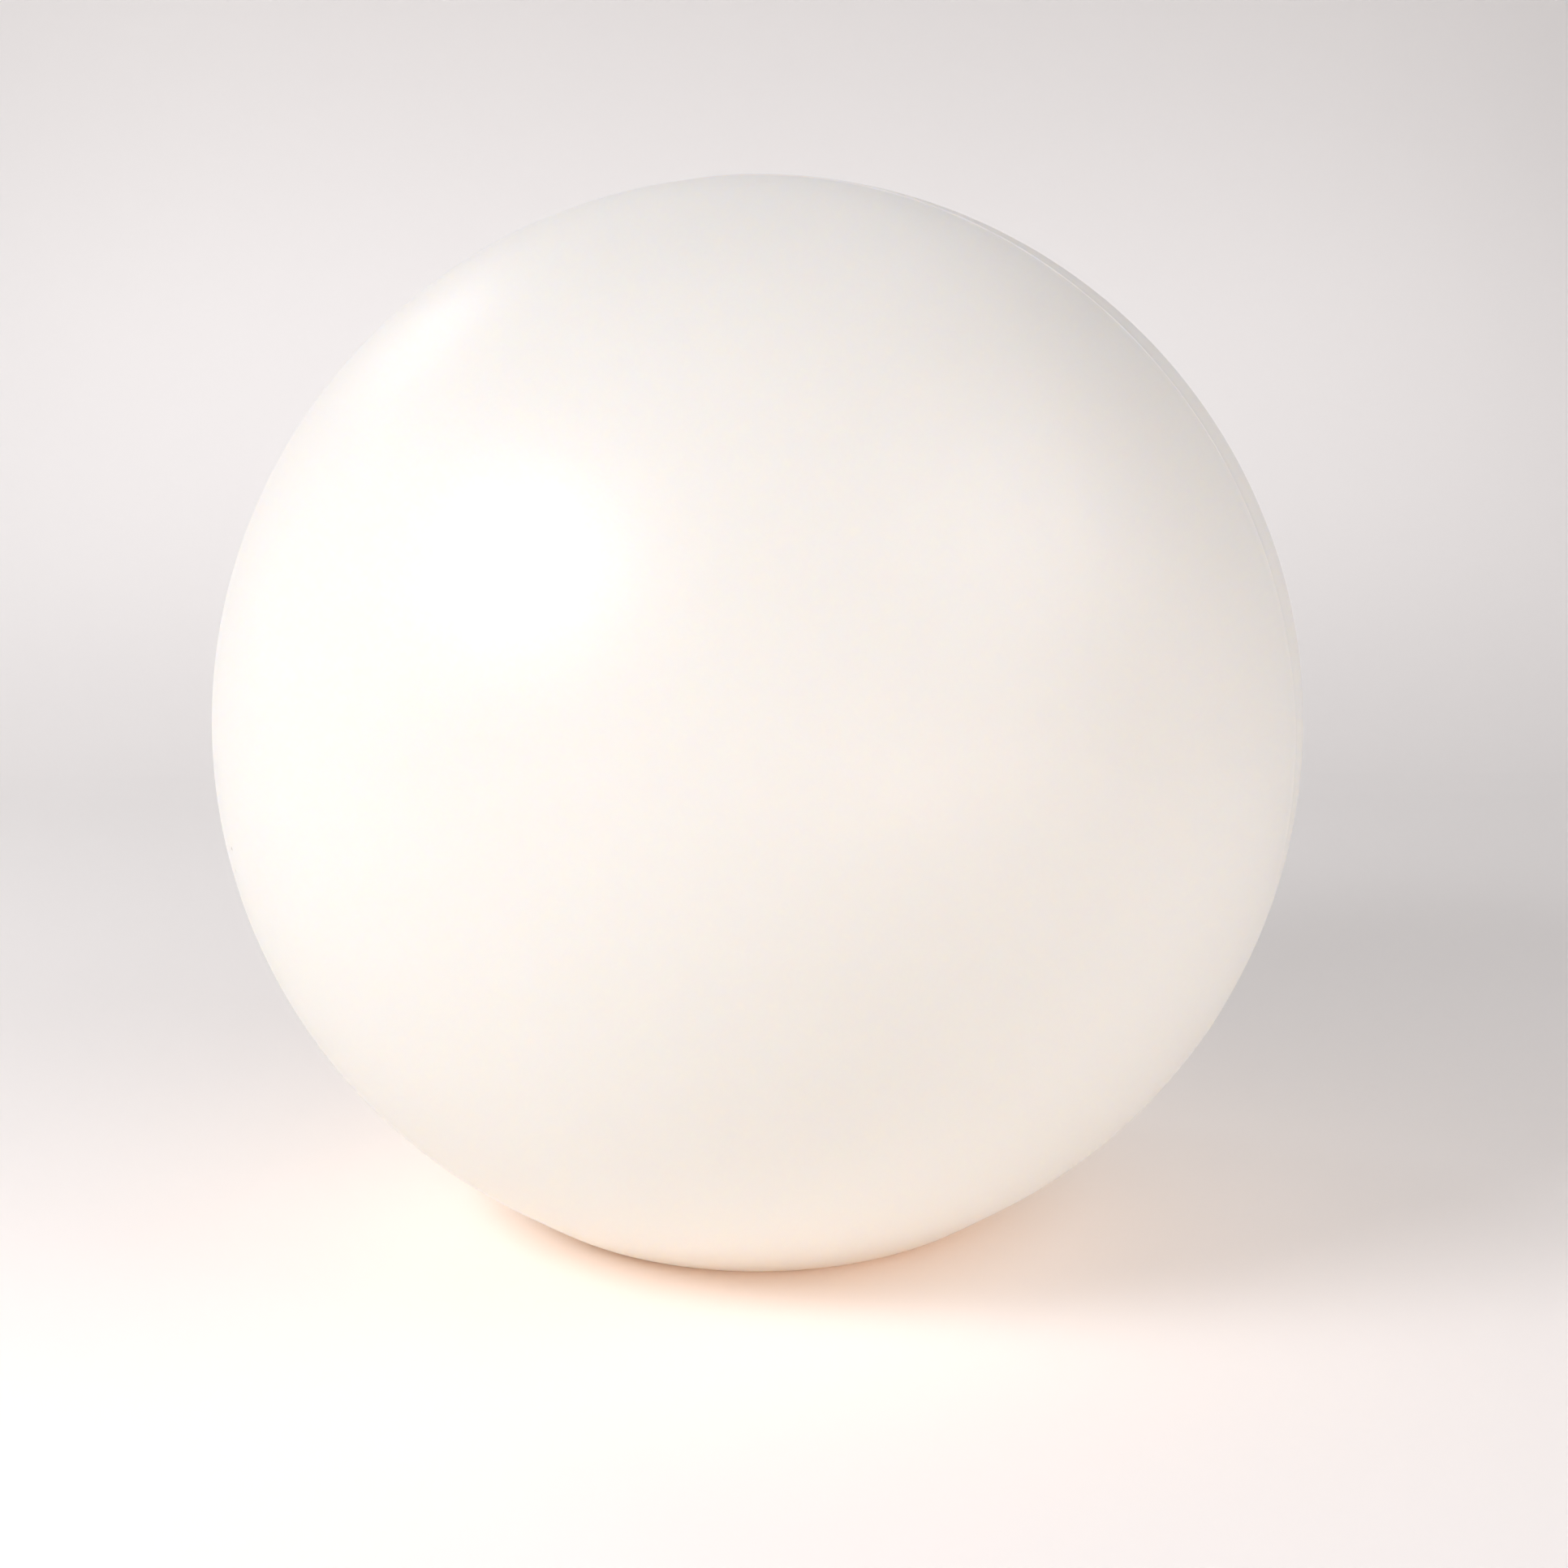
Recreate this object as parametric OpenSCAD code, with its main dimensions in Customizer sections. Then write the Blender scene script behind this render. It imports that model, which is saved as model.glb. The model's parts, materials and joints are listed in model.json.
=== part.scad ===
// Rechargeable garden ball light: a hollow moulded globe that stands on its own low foot,
// with a sealed light engine screwed up into its underside.
// Millimetres, +Z up, origin on the floor at the middle of the foot.

/* [Globe] */
// Outer diameter of the ball
globe_d = 400; // [340:5:600]
// Wall of the moulded globe
wall_t = 3; // [2:0.1:4.5]
// Outer diameter of the ring that the ball stands on
foot_d = 160; // [156:1:190]
// How far the foot reaches below the round of the ball at its rim
foot_drop = 1.4; // [0.8:0.1:3]
// Rise of the foot's skirt, in degrees from flat
skirt_angle = 32; // [31.8:0.1:36]
// Bevel at the outer edge of the foot
foot_bevel = 1.2; // [0.5:0.1:2]
// Height of the raised mould parting line
parting_h = 0.35; // [0.1:0.05:1]
// Width of the mould parting line
parting_w = 1.2; // [0.6:0.1:3]
// Turn of the parting plane about the vertical, in degrees from the front
parting_turn = 20.9; // [0:0.1:90]

/* [Underside recess] */
// Diameter of the recess at the floor
recess_d = 132; // [130:1:140]
// Depth of the recess, from the floor to the shelf
recess_h = 26; // [24:0.5:40]
// How much narrower the recess is at the shelf, on the radius
recess_draft = 1; // [0:0.1:2]
// Thickness of the shelf
shelf_t = 4; // [3:0.5:6]
// Diameter of the mouth in the shelf
mouth_d = 104; // [104:1:110]
// Diameter of the screw bosses on the shelf
shell_boss_d = 10; // [9:0.5:11]
// Height of the screw bosses above the shelf
shell_boss_h = 9; // [7:0.5:14]

/* [Base fasteners] */
// Number of screws that hold the base housing
base_screw_count = 6; // [3:1:8]
// Length of a thread insert
insert_l = 8; // [5:0.5:9]
// Outer diameter of a thread insert
insert_d = 5.6; // [5:0.1:6.5]
// Thread diameter of the large screws
screw_d = 3; // [2.5:0.1:3.2]
// Length of a base screw under its head
base_screw_l = 11; // [9:0.5:12]
// Head diameter of the large screws
head_d = 5.6; // [5:0.1:6]
// Head height of the large screws
head_h = 2.2; // [1.6:0.1:2.4]
// Thread diameter of the small screws
small_screw_d = 2.2; // [2:0.1:2.4]
// Head diameter of the small screws
small_head_d = 4; // [3.6:0.1:4.4]
// Head height of the small screws
small_head_h = 1.6; // [1.2:0.1:1.8]

/* [Base housing] */
// Thickness of the flange and the floor
base_t = 3; // [2.5:0.1:4]
// Thickness of the flat gasket above the flange
gasket_t = 1.6; // [1:0.1:2.5]
// Wall of the can
can_wall = 2.5; // [2:0.1:3]
// Space between the can and the mouth
mouth_gap = 2; // [1:0.1:2.5]
// Space between the flange and the recess wall
flange_gap = 1; // [0.5:0.1:1.5]
// Diameter of the posts in the can
post_d = 7; // [6:0.1:7.5]
// Diameter of the thin upper part of the board posts
post_top_d = 5.2; // [4.8:0.1:5.6]
// Distance of the board posts from the middle, front to back
post_y = 20; // [18:0.5:21]

/* [Buttons] */
// Diameter of a button cap
button_d = 14; // [11:0.1:14.5]
// How far a cap stands proud of the underside
button_proud = 1.2; // [0.8:0.1:1.5]
// Travel of a button
button_travel = 1.2; // [0.5:0.1:2]
// Distance of each button from the middle line
button_x = 12; // [11.5:0.1:12.5]
// Distance of the button row from the middle, towards the front
button_row = 22; // [20:0.1:22]
// Thickness of the collar that keeps a cap in
button_collar_t = 1.2; // [0.8:0.1:1.6]
// How far the collar reaches past the cap
button_collar_w = 1.5; // [1:0.1:1.8]

/* [Switch boot and board] */
// Thickness of the boot's sheet
boot_sheet = 0.8; // [0.6:0.1:1.2]
// Wall of the boot
boot_wall = 1.2; // [1:0.1:1.5]
// Width of the boot
boot_w = 45; // [44:0.1:46]
// Depth of the boot
boot_depth = 20; // [20:0.1:21]
// Side of a tact switch
tact_w = 6; // [5:0.1:7]
// Height of a tact switch's body
tact_h = 3.5; // [3:0.1:5]
// Height of a tact switch's plunger
plunger_h = 1.4; // [1:0.1:2.5]
// Diameter of a tact switch's plunger
plunger_d = 3.5; // [3:0.1:4]
// Width of the switch board
switch_board_w = 60; // [59:0.1:60.5]
// Thickness of the boards
board_t = 1.6; // [1:0.1:2]
// Diameter of the indicator's light pipe
pipe_d = 3; // [2:0.1:3.5]

/* [Charging socket] */
// Distance of the socket from the middle, towards the back
socket_y = 24; // [23:0.1:25]
// Diameter of the socket's threaded barrel
socket_d = 11; // [10.6:0.1:11.5]
// Diameter of the socket's face
socket_face_d = 14; // [13.5:0.1:15]
// Thickness of the socket's face
socket_face_t = 1.5; // [1:0.1:1.6]
// Diameter of the plug hole
jack_d = 6.4; // [6.3:0.1:6.8]
// Depth of the plug hole
jack_depth = 11; // [9:0.1:11.5]
// Diameter of the contact pin
jack_pin_d = 2.1; // [1.6:0.1:2.5]
// How far the pin's end lies behind the face
pin_setback = 3.2; // [3.1:0.1:5]
// Width of the nut across its flats
nut_w = 14; // [13.6:0.1:15]
// Height of the nut
nut_h = 2.5; // [2:0.1:4]

/* [Charging cap] */
// Thickness of the cap's disc
cap_t = 2.2; // [1.6:0.1:2.4]
// Length of the cap's spigot above the disc
spigot_l = 2.9; // [2:0.1:2.9]
// Diameter of the spigot at its root
spigot_d = 5.6; // [4.6:0.1:5.7]
// Diameter of the spigot at its end
spigot_end_d = 4; // [3:0.1:4.4]
// Distance from the socket's axis to the strap's bending line
hinge_out = 8.5; // [8.5:0.1:9]
// Thickness of the strap
strap_t = 1.2; // [0.8:0.1:1.4]
// Width of the strap
strap_w = 5; // [4:0.1:7]
// Length of the pull tab past the disc
tab_l = 1.5; // [1:0.1:1.5]
// Diameter of the anchor's head
anchor_head_d = 6; // [5:0.1:7]
// Diameter of the anchor's stem
anchor_stem_d = 3; // [2:0.1:3.4]
// Diameter of the anchor's barb
anchor_barb_d = 4.4; // [3.6:0.1:5]
// Height of the anchor's barb above the floor
anchor_barb_h = 2.4; // [1.6:0.1:3]

/* [Battery] */
// Diameter of a cell
cell_d = 18.2; // [17:0.1:18.8]
// Length of a cell
cell_l = 65; // [60:0.5:67]
// Gap between cells
cell_gap = 1; // [0.6:0.1:1.4]
// Thickness of the cradle's plate
cradle_t = 2; // [1.5:0.1:3]
// Height of the cradle's saddles
saddle_h = 6; // [4:0.1:8]
// Thickness of the clamp
clamp_t = 2; // [1.5:0.1:2.4]
// Width of the clamp
clamp_w = 14; // [10:0.5:16]
// Thickness of the nickel strips
tab_t = 0.2; // [0.1:0.05:0.3]

/* [Light engine] */
// Space for the connectors under the main board
under_board = 7.2; // [7:0.1:10]
// Space for the parts on the main board
over_board = 12.4; // [11.5:0.1:16]
// Thickness of the gasket on the can's rim
rim_gasket_t = 1.2; // [0.8:0.1:2]
// Thickness of the heat spreader
spreader_t = 2; // [1.5:0.1:4]
// Diameter of the LED board
led_board_d = 72; // [68:0.5:73]
// Side of an LED chip
led_w = 5; // [3.5:0.1:5]
// Height of an LED chip
led_h = 1.6; // [0.8:0.1:2]
// Number of chips in the outer ring
outer_leds = 16; // [8:1:18]
// Number of chips in the inner ring
inner_leds = 8; // [4:1:10]
// Wall of the dome
dome_wall = 2; // [1.5:0.1:2.5]
// Height of the dome above the heat spreader
dome_h = 28; // [22:0.5:40]
// Height of the dome's upright side
dome_side_h = 10; // [6:0.5:14]
// Thickness of the dome's flange
dome_flange_t = 2.5; // [2:0.1:4]
// Length of a dome screw under its head
dome_screw_l = 16; // [12:0.5:20]

/* [Leads] */
// Diameter of a power lead
power_lead_d = 1.6; // [1.2:0.1:1.8]
// Diameter of a signal lead
signal_lead_d = 1; // [0.8:0.1:1.1]

/* [Hidden] */
$fn = 96;

// Clearances: a fixed fit, a moving gap, and what lets a cut pass clean through a face
fit = 0.05;
gap = 0.3;
through = 1;

// How wide the dome, its screws and the can around them are
dome_room = 1.5;
dome_screw_room = 2.2;
dome_post_in = 3;
dome_in = led_board_d / 2 + dome_room;
dome_out = dome_in + dome_wall;
dome_reach = dome_out + dome_screw_room + head_d / 2 + dome_post_in + can_wall;
can_r = max(mouth_d / 2 - mouth_gap, dome_reach);
can_in = can_r - can_wall;

// Globe: the ledge around the mouth and the ring under it keep their widths as the mouth grows
ledge_w = 13;
foot_ring_w = 14;
globe_r = globe_d / 2;
mouth_r = can_r + mouth_gap;
recess_r = max(recess_d / 2, mouth_r + ledge_w + recess_draft);
shelf_r = recess_r - recess_draft;
bolt_r = (mouth_r + shelf_r) / 2;
foot_r = max(foot_d / 2, recess_r + foot_ring_w);
globe_z = sqrt(globe_r * globe_r - foot_r * foot_r) + foot_drop;
skirt_run = 14;
insert_hole_spare = 1;

// Base housing
base_top = recess_h - gasket_t;
base_z = base_top - base_t;
flange_r = shelf_r - flange_gap;
post_r = post_d / 2;

// Buttons and their switches
collar_z = base_top + gap;
boot_z = collar_z + button_collar_t + button_travel + gap;
plunger_z = boot_z + boot_sheet + gap;
tact_z = plunger_z + plunger_h;
switch_board_z = tact_z + tact_h;
switch_board_top = switch_board_z + board_t;
guide_wall = 1.5;
switch_post_out = 0.2;
switch_post_x = (boot_w + switch_board_w) / 4 + switch_post_out;
switch_post_d = 5.6;
switch_screw_l = 6;
pipe_collar_h = 1;
pipe_collar_w = 0.4;
chip_w = 2;
chip_depth = 1.25;
chip_h = 0.9;
dish_roundness = 1.6;
dish_r = button_d * dish_roundness;
dish_depth = 0.5;
mark_depth = 0.4;
mark_w = 1;
ring_mark_r = 3.2;
dot_mark_out = 2.8;

// Charging socket and cap
jack_face = base_z - socket_face_t;
cap_z = jack_face - gap - cap_t;
strap_z = cap_z + cap_t / 2;
hinge_y = socket_y + hinge_out;
anchor_out = 5;
anchor_y = hinge_y + anchor_out;
strap_root = 2;
strap_bead = 0.15;
strap_bend_r = strap_t / 2 + strap_bead;
barrel_l = 13.5;

// Battery
lead_room = 3.6;
saddle_floor = 0.2;
saddle_edge = 0.5;
saddle_depth = 8;
post_room = 3.2;
clamp_room = 2.2;
clamp_foot = 4.5;
plate_edge = 2.8;
plate_end = 4;
cell_end_room = 1.5;
cell_r = cell_d / 2;
cell_pitch = cell_d + cell_gap;
pack_half = cell_pitch + cell_r;
cradle_z = switch_board_top + lead_room;
cradle_top = cradle_z + cradle_t;
cell_z = cradle_top + saddle_floor + gap + cell_r;
cell_top = cell_z + cell_r;
post_x = pack_half + post_r + post_room;
clamp_in = pack_half + clamp_room;
clamp_screw_x = clamp_in + clamp_t + clamp_foot;
plate_x = clamp_screw_x + plate_edge;
plate_y = post_y + plate_end;
end_y = cell_l / 2 + cell_end_room;
saddle_y = cell_l / 3;
strip_h = 8;
crimp_from_end = 4;
crimp_r = 1.2;
terminal_h = 1.2;
terminal_r = cell_r / 3;
clamp_screw_l = 10;
thread_spare = 2;

// Boards and dome
main_z = cell_top + under_board;
main_top = main_z + board_t;
board_room = 1.5;
main_r = can_in - board_room;
post_notch_r = post_r + 1;
main_screw_l = 8;
can_top = main_top + over_board;
dome_screw_count = 4;
dome_post_r = can_in - dome_post_in;
spreader_z = can_top + rim_gasket_t;
rim_step = 1.5;
spreader_r = can_r - rim_step;
led_board_z = spreader_z + spreader_t;
led_z = led_board_z + board_t;
led_edge = 8;
outer_ring_r = led_board_d / 2 - led_edge;
inner_ring_r = outer_ring_r / 2;
led_screw_count = 3;
led_screw_turn = 90;
led_screw_r = (outer_ring_r + inner_ring_r) / 2;
dome_cap_h = dome_h - dome_side_h;
dome_sphere_r = (dome_out * dome_out + dome_cap_h * dome_cap_h) / (2 * dome_cap_h);
lead_hole_edge = 5;
lead_hole_y = led_board_d / 2 - lead_hole_edge;
lead_hole_r = 3;
receiver = [5.6, 5, 7];
receiver_lens_r = 2.2;
receiver_lens_z = 4.2;
connector_h = 5.8;
connector_z = main_z - connector_h;
connector_w = 8;
connector_depth = 6;
lead_entry = 3;
lead_pitch = 1.2;

// Sizes and places of the parts on the main board
inductor = [12, 12, 6];
inductor_place = [-18, 4, 0];
controller = [9, 9, 1.2];
controller_place = [0, 8, 0];
transistor = [6.5, 6, 2.3];
transistor_pitch = 12;
transistor_y = -10;
capacitor_r = 4;
capacitor_h = 9;
capacitor_x = 18;
capacitor_pitch = 10;
capacitor_y = 6;

// Where each connector sits on the main board
battery_plug = [0, 24];
switch_plug = [-21, -22];
charge_plug = [17, 24];
led_plug = [0, -26];

// Places around a circle
module around(count, radius, start = 0)
    for (i = [0 : count - 1])
        rotate(start + i * 360 / count) translate([radius, 0, 0]) children();

// The same thing left and right
module both_sides(x)
    for (side = [-1, 1])
        translate([side * x, 0, 0]) children();

// The same thing in all four corners
module corners(x, y)
    for (side = [-1, 1], end = [-1, 1])
        translate([side * x, end * y, 0]) children();

// A box centred on X and Y that stands on its lower face
module block(size)
    translate([-size[0] / 2, -size[1] / 2, 0]) cube(size);

// A pan-head screw that points up, its head's underside at zero
module screw_up(d, length, head, head_height) {
    slot_w = head / 6;
    slot_l = head * 0.6;
    slot_depth = head_height / 2;
    cylinder(h = length, r = d / 2);
    difference() {
        translate([0, 0, -head_height]) cylinder(h = head_height, r = head / 2);
        for (turn = [0, 90])
            rotate(turn) translate([0, 0, -head_height - through])
                block([slot_l, slot_w, slot_depth + through]);
    }
}

module screw_down(d, length, head, head_height)
    mirror([0, 0, 1]) screw_up(d, length, head, head_height);

// Smooth leads: a curve through the route's points, swept as a six-sided tube
function curve_point(a, b, c, d, t) =
    let (square_part = 2 * a - 5 * b + 4 * c - d, cube_part = 3 * b - a - 3 * c + d)
    0.5 * (2 * b + (c - a) * t + square_part * t * t + cube_part * t * t * t);
function smooth_route(route, steps) =
    let (last = len(route) - 1)
    concat([for (i = [0 : last - 1], k = [0 : steps - 1])
        let (before = route[max(i - 1, 0)], after = route[min(i + 2, last)])
        curve_point(before, route[i], route[i + 1], after, k / steps)],
        [route[last]]);
function unit(v) = v / norm(v);
function heading(route, path, i) =
    i == 0 ? unit(route[1] - route[0])
    : i == len(path) - 1 ? unit(route[len(route) - 1] - route[len(route) - 2])
    : unit(path[i + 1] - path[i - 1]);
// A side direction that is carried along the path without twisting
function carried(route, path, side, i = 0, found = []) =
    i == len(path) ? found
    : let (ahead = heading(route, path, i), before = i == 0 ? side : found[i - 1],
        across = unit(before - (before * ahead) * ahead))
        carried(route, path, side, i + 1, concat(found, [across]));

// One lead along a route; shift sets it aside from the route, so leads of one route run side by side
module lead(route, d, side, shift = 0) {
    sides = 6;
    steps = 3;
    path = smooth_route(route, steps);
    across = carried(route, path, side);
    rings = len(path);
    points = [for (i = [0 : rings - 1])
        let (u = across[i], w = cross(heading(route, path, i), u))
        for (k = [0 : sides - 1])
            path[i] + shift * u + d / 2 * (cos(k * 360 / sides) * u + sin(k * 360 / sides) * w)];
    walls = [for (i = [0 : rings - 2], k = [0 : sides - 1])
        let (a = i * sides + k, b = i * sides + (k + 1) % sides)
        each [[a, a + sides, b], [b, a + sides, b + sides]]];
    start_face = [for (k = [1 : sides - 2]) [0, k, k + 1]];
    end = (rings - 1) * sides;
    end_face = [for (k = [1 : sides - 2]) [end, end + k + 1, end + k]];
    polyhedron(points = points, faces = concat(start_face, walls, end_face));
}

// Half section of the globe: round outside, foot skirt, cavity, recess and shelf
module globe_section() {
    difference() {
        union() {
            translate([0, globe_z]) circle(r = globe_r, $fn = 360);
            polygon([[0, 0], [foot_r - foot_bevel, 0], [foot_r, foot_bevel * tan(skirt_angle)],
                [foot_r + skirt_run, (foot_bevel + skirt_run) * tan(skirt_angle)],
                [0, (foot_bevel + skirt_run) * tan(skirt_angle)]]);
        }
        difference() {
            translate([0, globe_z]) circle(r = globe_r - wall_t, $fn = 360);
            translate([-globe_r, -globe_r]) square([globe_d, globe_r + wall_t]);
            square([recess_r + wall_t, recess_h + shelf_t]);
        }
        polygon([[-through, -through], [recess_r, -through], [recess_r, 0], [shelf_r, recess_h],
            [-through, recess_h]]);
        translate([-through, 0]) square([mouth_r + through, recess_h + shelf_t]);
        translate([-globe_r - through, -globe_r]) square([globe_r + through, 3 * globe_r]);
        translate([-through, -globe_r]) square([globe_r + 2 * through, globe_r]);
    }
}

module parting_line() {
    rotate(-parting_turn)
        intersection() {
            translate([-globe_d, -parting_w / 2, foot_bevel])
                cube([2 * globe_d, parting_w, 2 * globe_d]);
            translate([0, 0, globe_z])
                difference() {
                    sphere(r = globe_r + parting_h, $fn = 360);
                    sphere(r = globe_r - wall_t / 2, $fn = 360);
                }
        }
}

module globe_shell() {
    color([0.95, 0.93, 0.89])
        difference() {
            union() {
                rotate_extrude($fn = 360) globe_section();
                parting_line();
                around(base_screw_count, bolt_r)
                    translate([0, 0, recess_h + shelf_t / 2])
                        cylinder(h = shelf_t / 2 + shell_boss_h, r = shell_boss_d / 2);
            }
            around(base_screw_count, bolt_r)
                translate([0, 0, recess_h - through])
                    cylinder(h = through + gap + insert_l + insert_hole_spare, r = insert_d / 2 + fit);
        }
}

module shell_inserts() {
    color([0.8, 0.65, 0.35])
        around(base_screw_count, bolt_r)
            translate([0, 0, recess_h + gap])
                difference() {
                    cylinder(h = insert_l, r = insert_d / 2);
                    translate([0, 0, -through])
                        cylinder(h = insert_l + 2 * through, r = screw_d / 2 + fit);
                }
}

module base_gasket() {
    color([0.25, 0.25, 0.26])
        translate([0, 0, base_top])
            difference() {
                cylinder(h = gasket_t, r = flange_r);
                translate([0, 0, -through]) cylinder(h = gasket_t + 2 * through, r = mouth_r);
                around(base_screw_count, bolt_r)
                    translate([0, 0, -through])
                        cylinder(h = gasket_t + 2 * through, r = screw_d / 2 + gap);
            }
}

// Everything that is added inside the can before its holes are drilled
module can_posts() {
    translate([0, -button_row, base_top - fit])
        difference() {
            block([boot_w, boot_depth, boot_z - base_top + fit]);
            translate([0, 0, -through])
                block([boot_w - 2 * guide_wall, boot_depth - 2 * guide_wall, boot_z]);
        }
    translate([0, -button_row, base_top - fit])
        both_sides(switch_post_x)
            cylinder(h = switch_board_z - base_top + fit, r = switch_post_d / 2);
    translate([0, 0, base_top - fit])
        corners(post_x, post_y)
            cylinder(h = cradle_z - base_top + fit, r = post_r);
    translate([0, 0, base_top - fit])
        corners(post_x, post_y)
            cylinder(h = main_z - base_top + fit, r = post_top_d / 2);
    translate([0, 0, base_top - fit])
        both_sides(clamp_screw_x)
            cylinder(h = cradle_z - base_top + fit, r = post_r);
    around(dome_screw_count, dome_post_r)
        translate([0, 0, base_top - fit])
            cylinder(h = can_top - base_top + fit, r = post_r);
}

module base_housing() {
    color([0.9, 0.9, 0.89])
        difference() {
            union() {
                translate([0, 0, base_z]) cylinder(h = base_t, r = flange_r);
                translate([0, 0, base_z])
                    difference() {
                        cylinder(h = can_top - base_z, r = can_r);
                        translate([0, 0, base_t]) cylinder(h = can_top, r = can_in);
                    }
                can_posts();
            }
            around(base_screw_count, bolt_r)
                translate([0, 0, base_z - through])
                    cylinder(h = base_t + 2 * through, r = screw_d / 2 + gap);
            translate([0, -button_row, base_z - through]) {
                both_sides(button_x)
                    cylinder(h = base_t + 2 * through, r = button_d / 2 + gap);
                cylinder(h = base_t + 2 * through, r = pipe_d / 2 + fit);
            }
            translate([0, -button_row, switch_board_z - switch_screw_l])
                both_sides(switch_post_x)
                    cylinder(h = switch_screw_l + through, r = small_screw_d / 2 + fit);
            translate([0, 0, main_z - main_screw_l])
                corners(post_x, post_y)
                    cylinder(h = main_screw_l + through, r = small_screw_d / 2 + fit);
            translate([0, 0, cradle_z - clamp_screw_l])
                both_sides(clamp_screw_x)
                    cylinder(h = clamp_screw_l + through, r = screw_d / 2 + fit);
            around(dome_screw_count, dome_post_r)
                translate([0, 0, can_top - dome_screw_l])
                    cylinder(h = dome_screw_l + through, r = screw_d / 2 + fit);
            translate([0, socket_y, base_z - through])
                cylinder(h = base_t + 2 * through, r = socket_d / 2 + fit);
            translate([0, anchor_y, base_z - through])
                cylinder(h = base_t + 2 * through, r = anchor_stem_d / 2 + fit);
        }
}

module base_screws() {
    color([0.75, 0.76, 0.77])
        around(base_screw_count, bolt_r)
            translate([0, 0, base_z]) screw_up(screw_d, base_screw_l, head_d, head_h);
}

// A button cap with a finger dish below and the collar that keeps it in above
module button_cap() {
    difference() {
        union() {
            translate([0, 0, base_z - button_proud])
                cylinder(h = collar_z - base_z + button_proud + fit, r = button_d / 2);
            translate([0, 0, collar_z])
                cylinder(h = button_collar_t, r = button_d / 2 + button_collar_w);
        }
        translate([0, 0, base_z - button_proud + dish_depth - dish_r]) sphere(r = dish_r);
    }
}

module power_button() {
    color([0.3, 0.31, 0.33])
        translate([-button_x, -button_row, 0])
            difference() {
                button_cap();
                translate([0, 0, base_z - button_proud - through])
                    linear_extrude(through + dish_depth + mark_depth)
                        difference() {
                            circle(r = ring_mark_r + mark_w / 2);
                            circle(r = ring_mark_r - mark_w / 2);
                        }
            }
}

module mode_button() {
    color([0.3, 0.31, 0.33])
        translate([button_x, -button_row, 0])
            difference() {
                button_cap();
                for (turn = [0 : 120 : 240])
                    rotate(turn + 90) translate([dot_mark_out, 0, base_z - button_proud - through])
                        cylinder(h = through + dish_depth + mark_depth, r = mark_w);
            }
}

module switch_boot() {
    color([0.6, 0.6, 0.62])
        translate([0, -button_row, boot_z])
            difference() {
                block([boot_w, boot_depth, switch_board_z - boot_z]);
                translate([0, 0, boot_sheet])
                    block([boot_w - 2 * boot_wall, boot_depth - 2 * boot_wall, switch_board_z]);
                translate([0, 0, -through])
                    cylinder(h = boot_sheet + 2 * through, r = pipe_d / 2 + gap);
            }
}

module switch_board() {
    color([0.1, 0.4, 0.2])
        translate([0, -button_row, switch_board_z])
            difference() {
                block([switch_board_w, boot_depth, board_t]);
                both_sides(switch_post_x)
                    translate([0, 0, -through])
                        cylinder(h = board_t + 2 * through, r = small_screw_d / 2 + fit);
            }
}

module tact_switches() {
    color([0.2, 0.2, 0.2])
        translate([0, -button_row, 0])
            both_sides(button_x) {
                translate([0, 0, tact_z]) block([tact_w, tact_w, tact_h]);
                translate([0, 0, plunger_z]) cylinder(h = plunger_h + fit, r = plunger_d / 2);
            }
}

module indicator_chip() {
    color([0.9, 0.9, 0.7])
        translate([0, -button_row, switch_board_z - chip_h]) block([chip_w, chip_depth, chip_h]);
}

module switch_board_screws() {
    color([0.75, 0.76, 0.77])
        translate([0, -button_row, switch_board_top])
            both_sides(switch_post_x)
                screw_down(small_screw_d, board_t + switch_screw_l - thread_spare,
                    small_head_d, small_head_h);
}

module light_pipe() {
    color([0.85, 0.92, 0.95])
        translate([0, -button_row, 0]) {
            translate([0, 0, base_z - gap])
                cylinder(h = switch_board_z - chip_h - base_z, r = pipe_d / 2);
            translate([0, 0, base_top]) cylinder(h = pipe_collar_h, r = pipe_d / 2 + pipe_collar_w);
        }
}

module charge_socket() {
    color([0.13, 0.13, 0.14])
        translate([0, socket_y, 0]) {
            difference() {
                union() {
                    translate([0, 0, jack_face]) cylinder(h = socket_face_t, r = socket_face_d / 2);
                    translate([0, 0, jack_face])
                        cylinder(h = barrel_l + socket_face_t, r = socket_d / 2);
                }
                translate([0, 0, jack_face - through])
                    cylinder(h = jack_depth + through, r = jack_d / 2);
            }
            translate([0, 0, jack_face + pin_setback])
                cylinder(h = jack_depth - pin_setback + fit, r = jack_pin_d / 2);
        }
}

module socket_nut() {
    color([0.75, 0.76, 0.77])
        translate([0, socket_y, base_top])
            difference() {
                cylinder(h = nut_h, r = nut_w / 2 / cos(30), $fn = 6);
                translate([0, 0, -through])
                    cylinder(h = nut_h + 2 * through, r = socket_d / 2 + fit);
            }
}

// The cap, its spigot, its pull tab and the moving end of its strap
module charge_cap() {
    color([0.2, 0.2, 0.21]) {
        translate([0, socket_y, cap_z]) {
            cylinder(h = cap_t, r = socket_face_d / 2);
            translate([0, 0, cap_t - fit])
                cylinder(h = spigot_l + fit, r1 = spigot_d / 2, r2 = spigot_end_d / 2);
        }
        translate([-strap_w / 2, socket_y - socket_face_d / 2 - tab_l, cap_z])
            cube([strap_w, tab_l + strap_root, strap_t]);
        translate([-strap_w / 2, socket_y + socket_face_d / 2 - strap_root, strap_z - strap_t / 2])
            cube([strap_w, hinge_out - socket_face_d / 2 + strap_root, strap_t]);
        translate([-strap_w / 2, hinge_y, strap_z])
            rotate([0, 90, 0]) cylinder(h = strap_w, r = strap_bend_r);
    }
}

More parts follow.
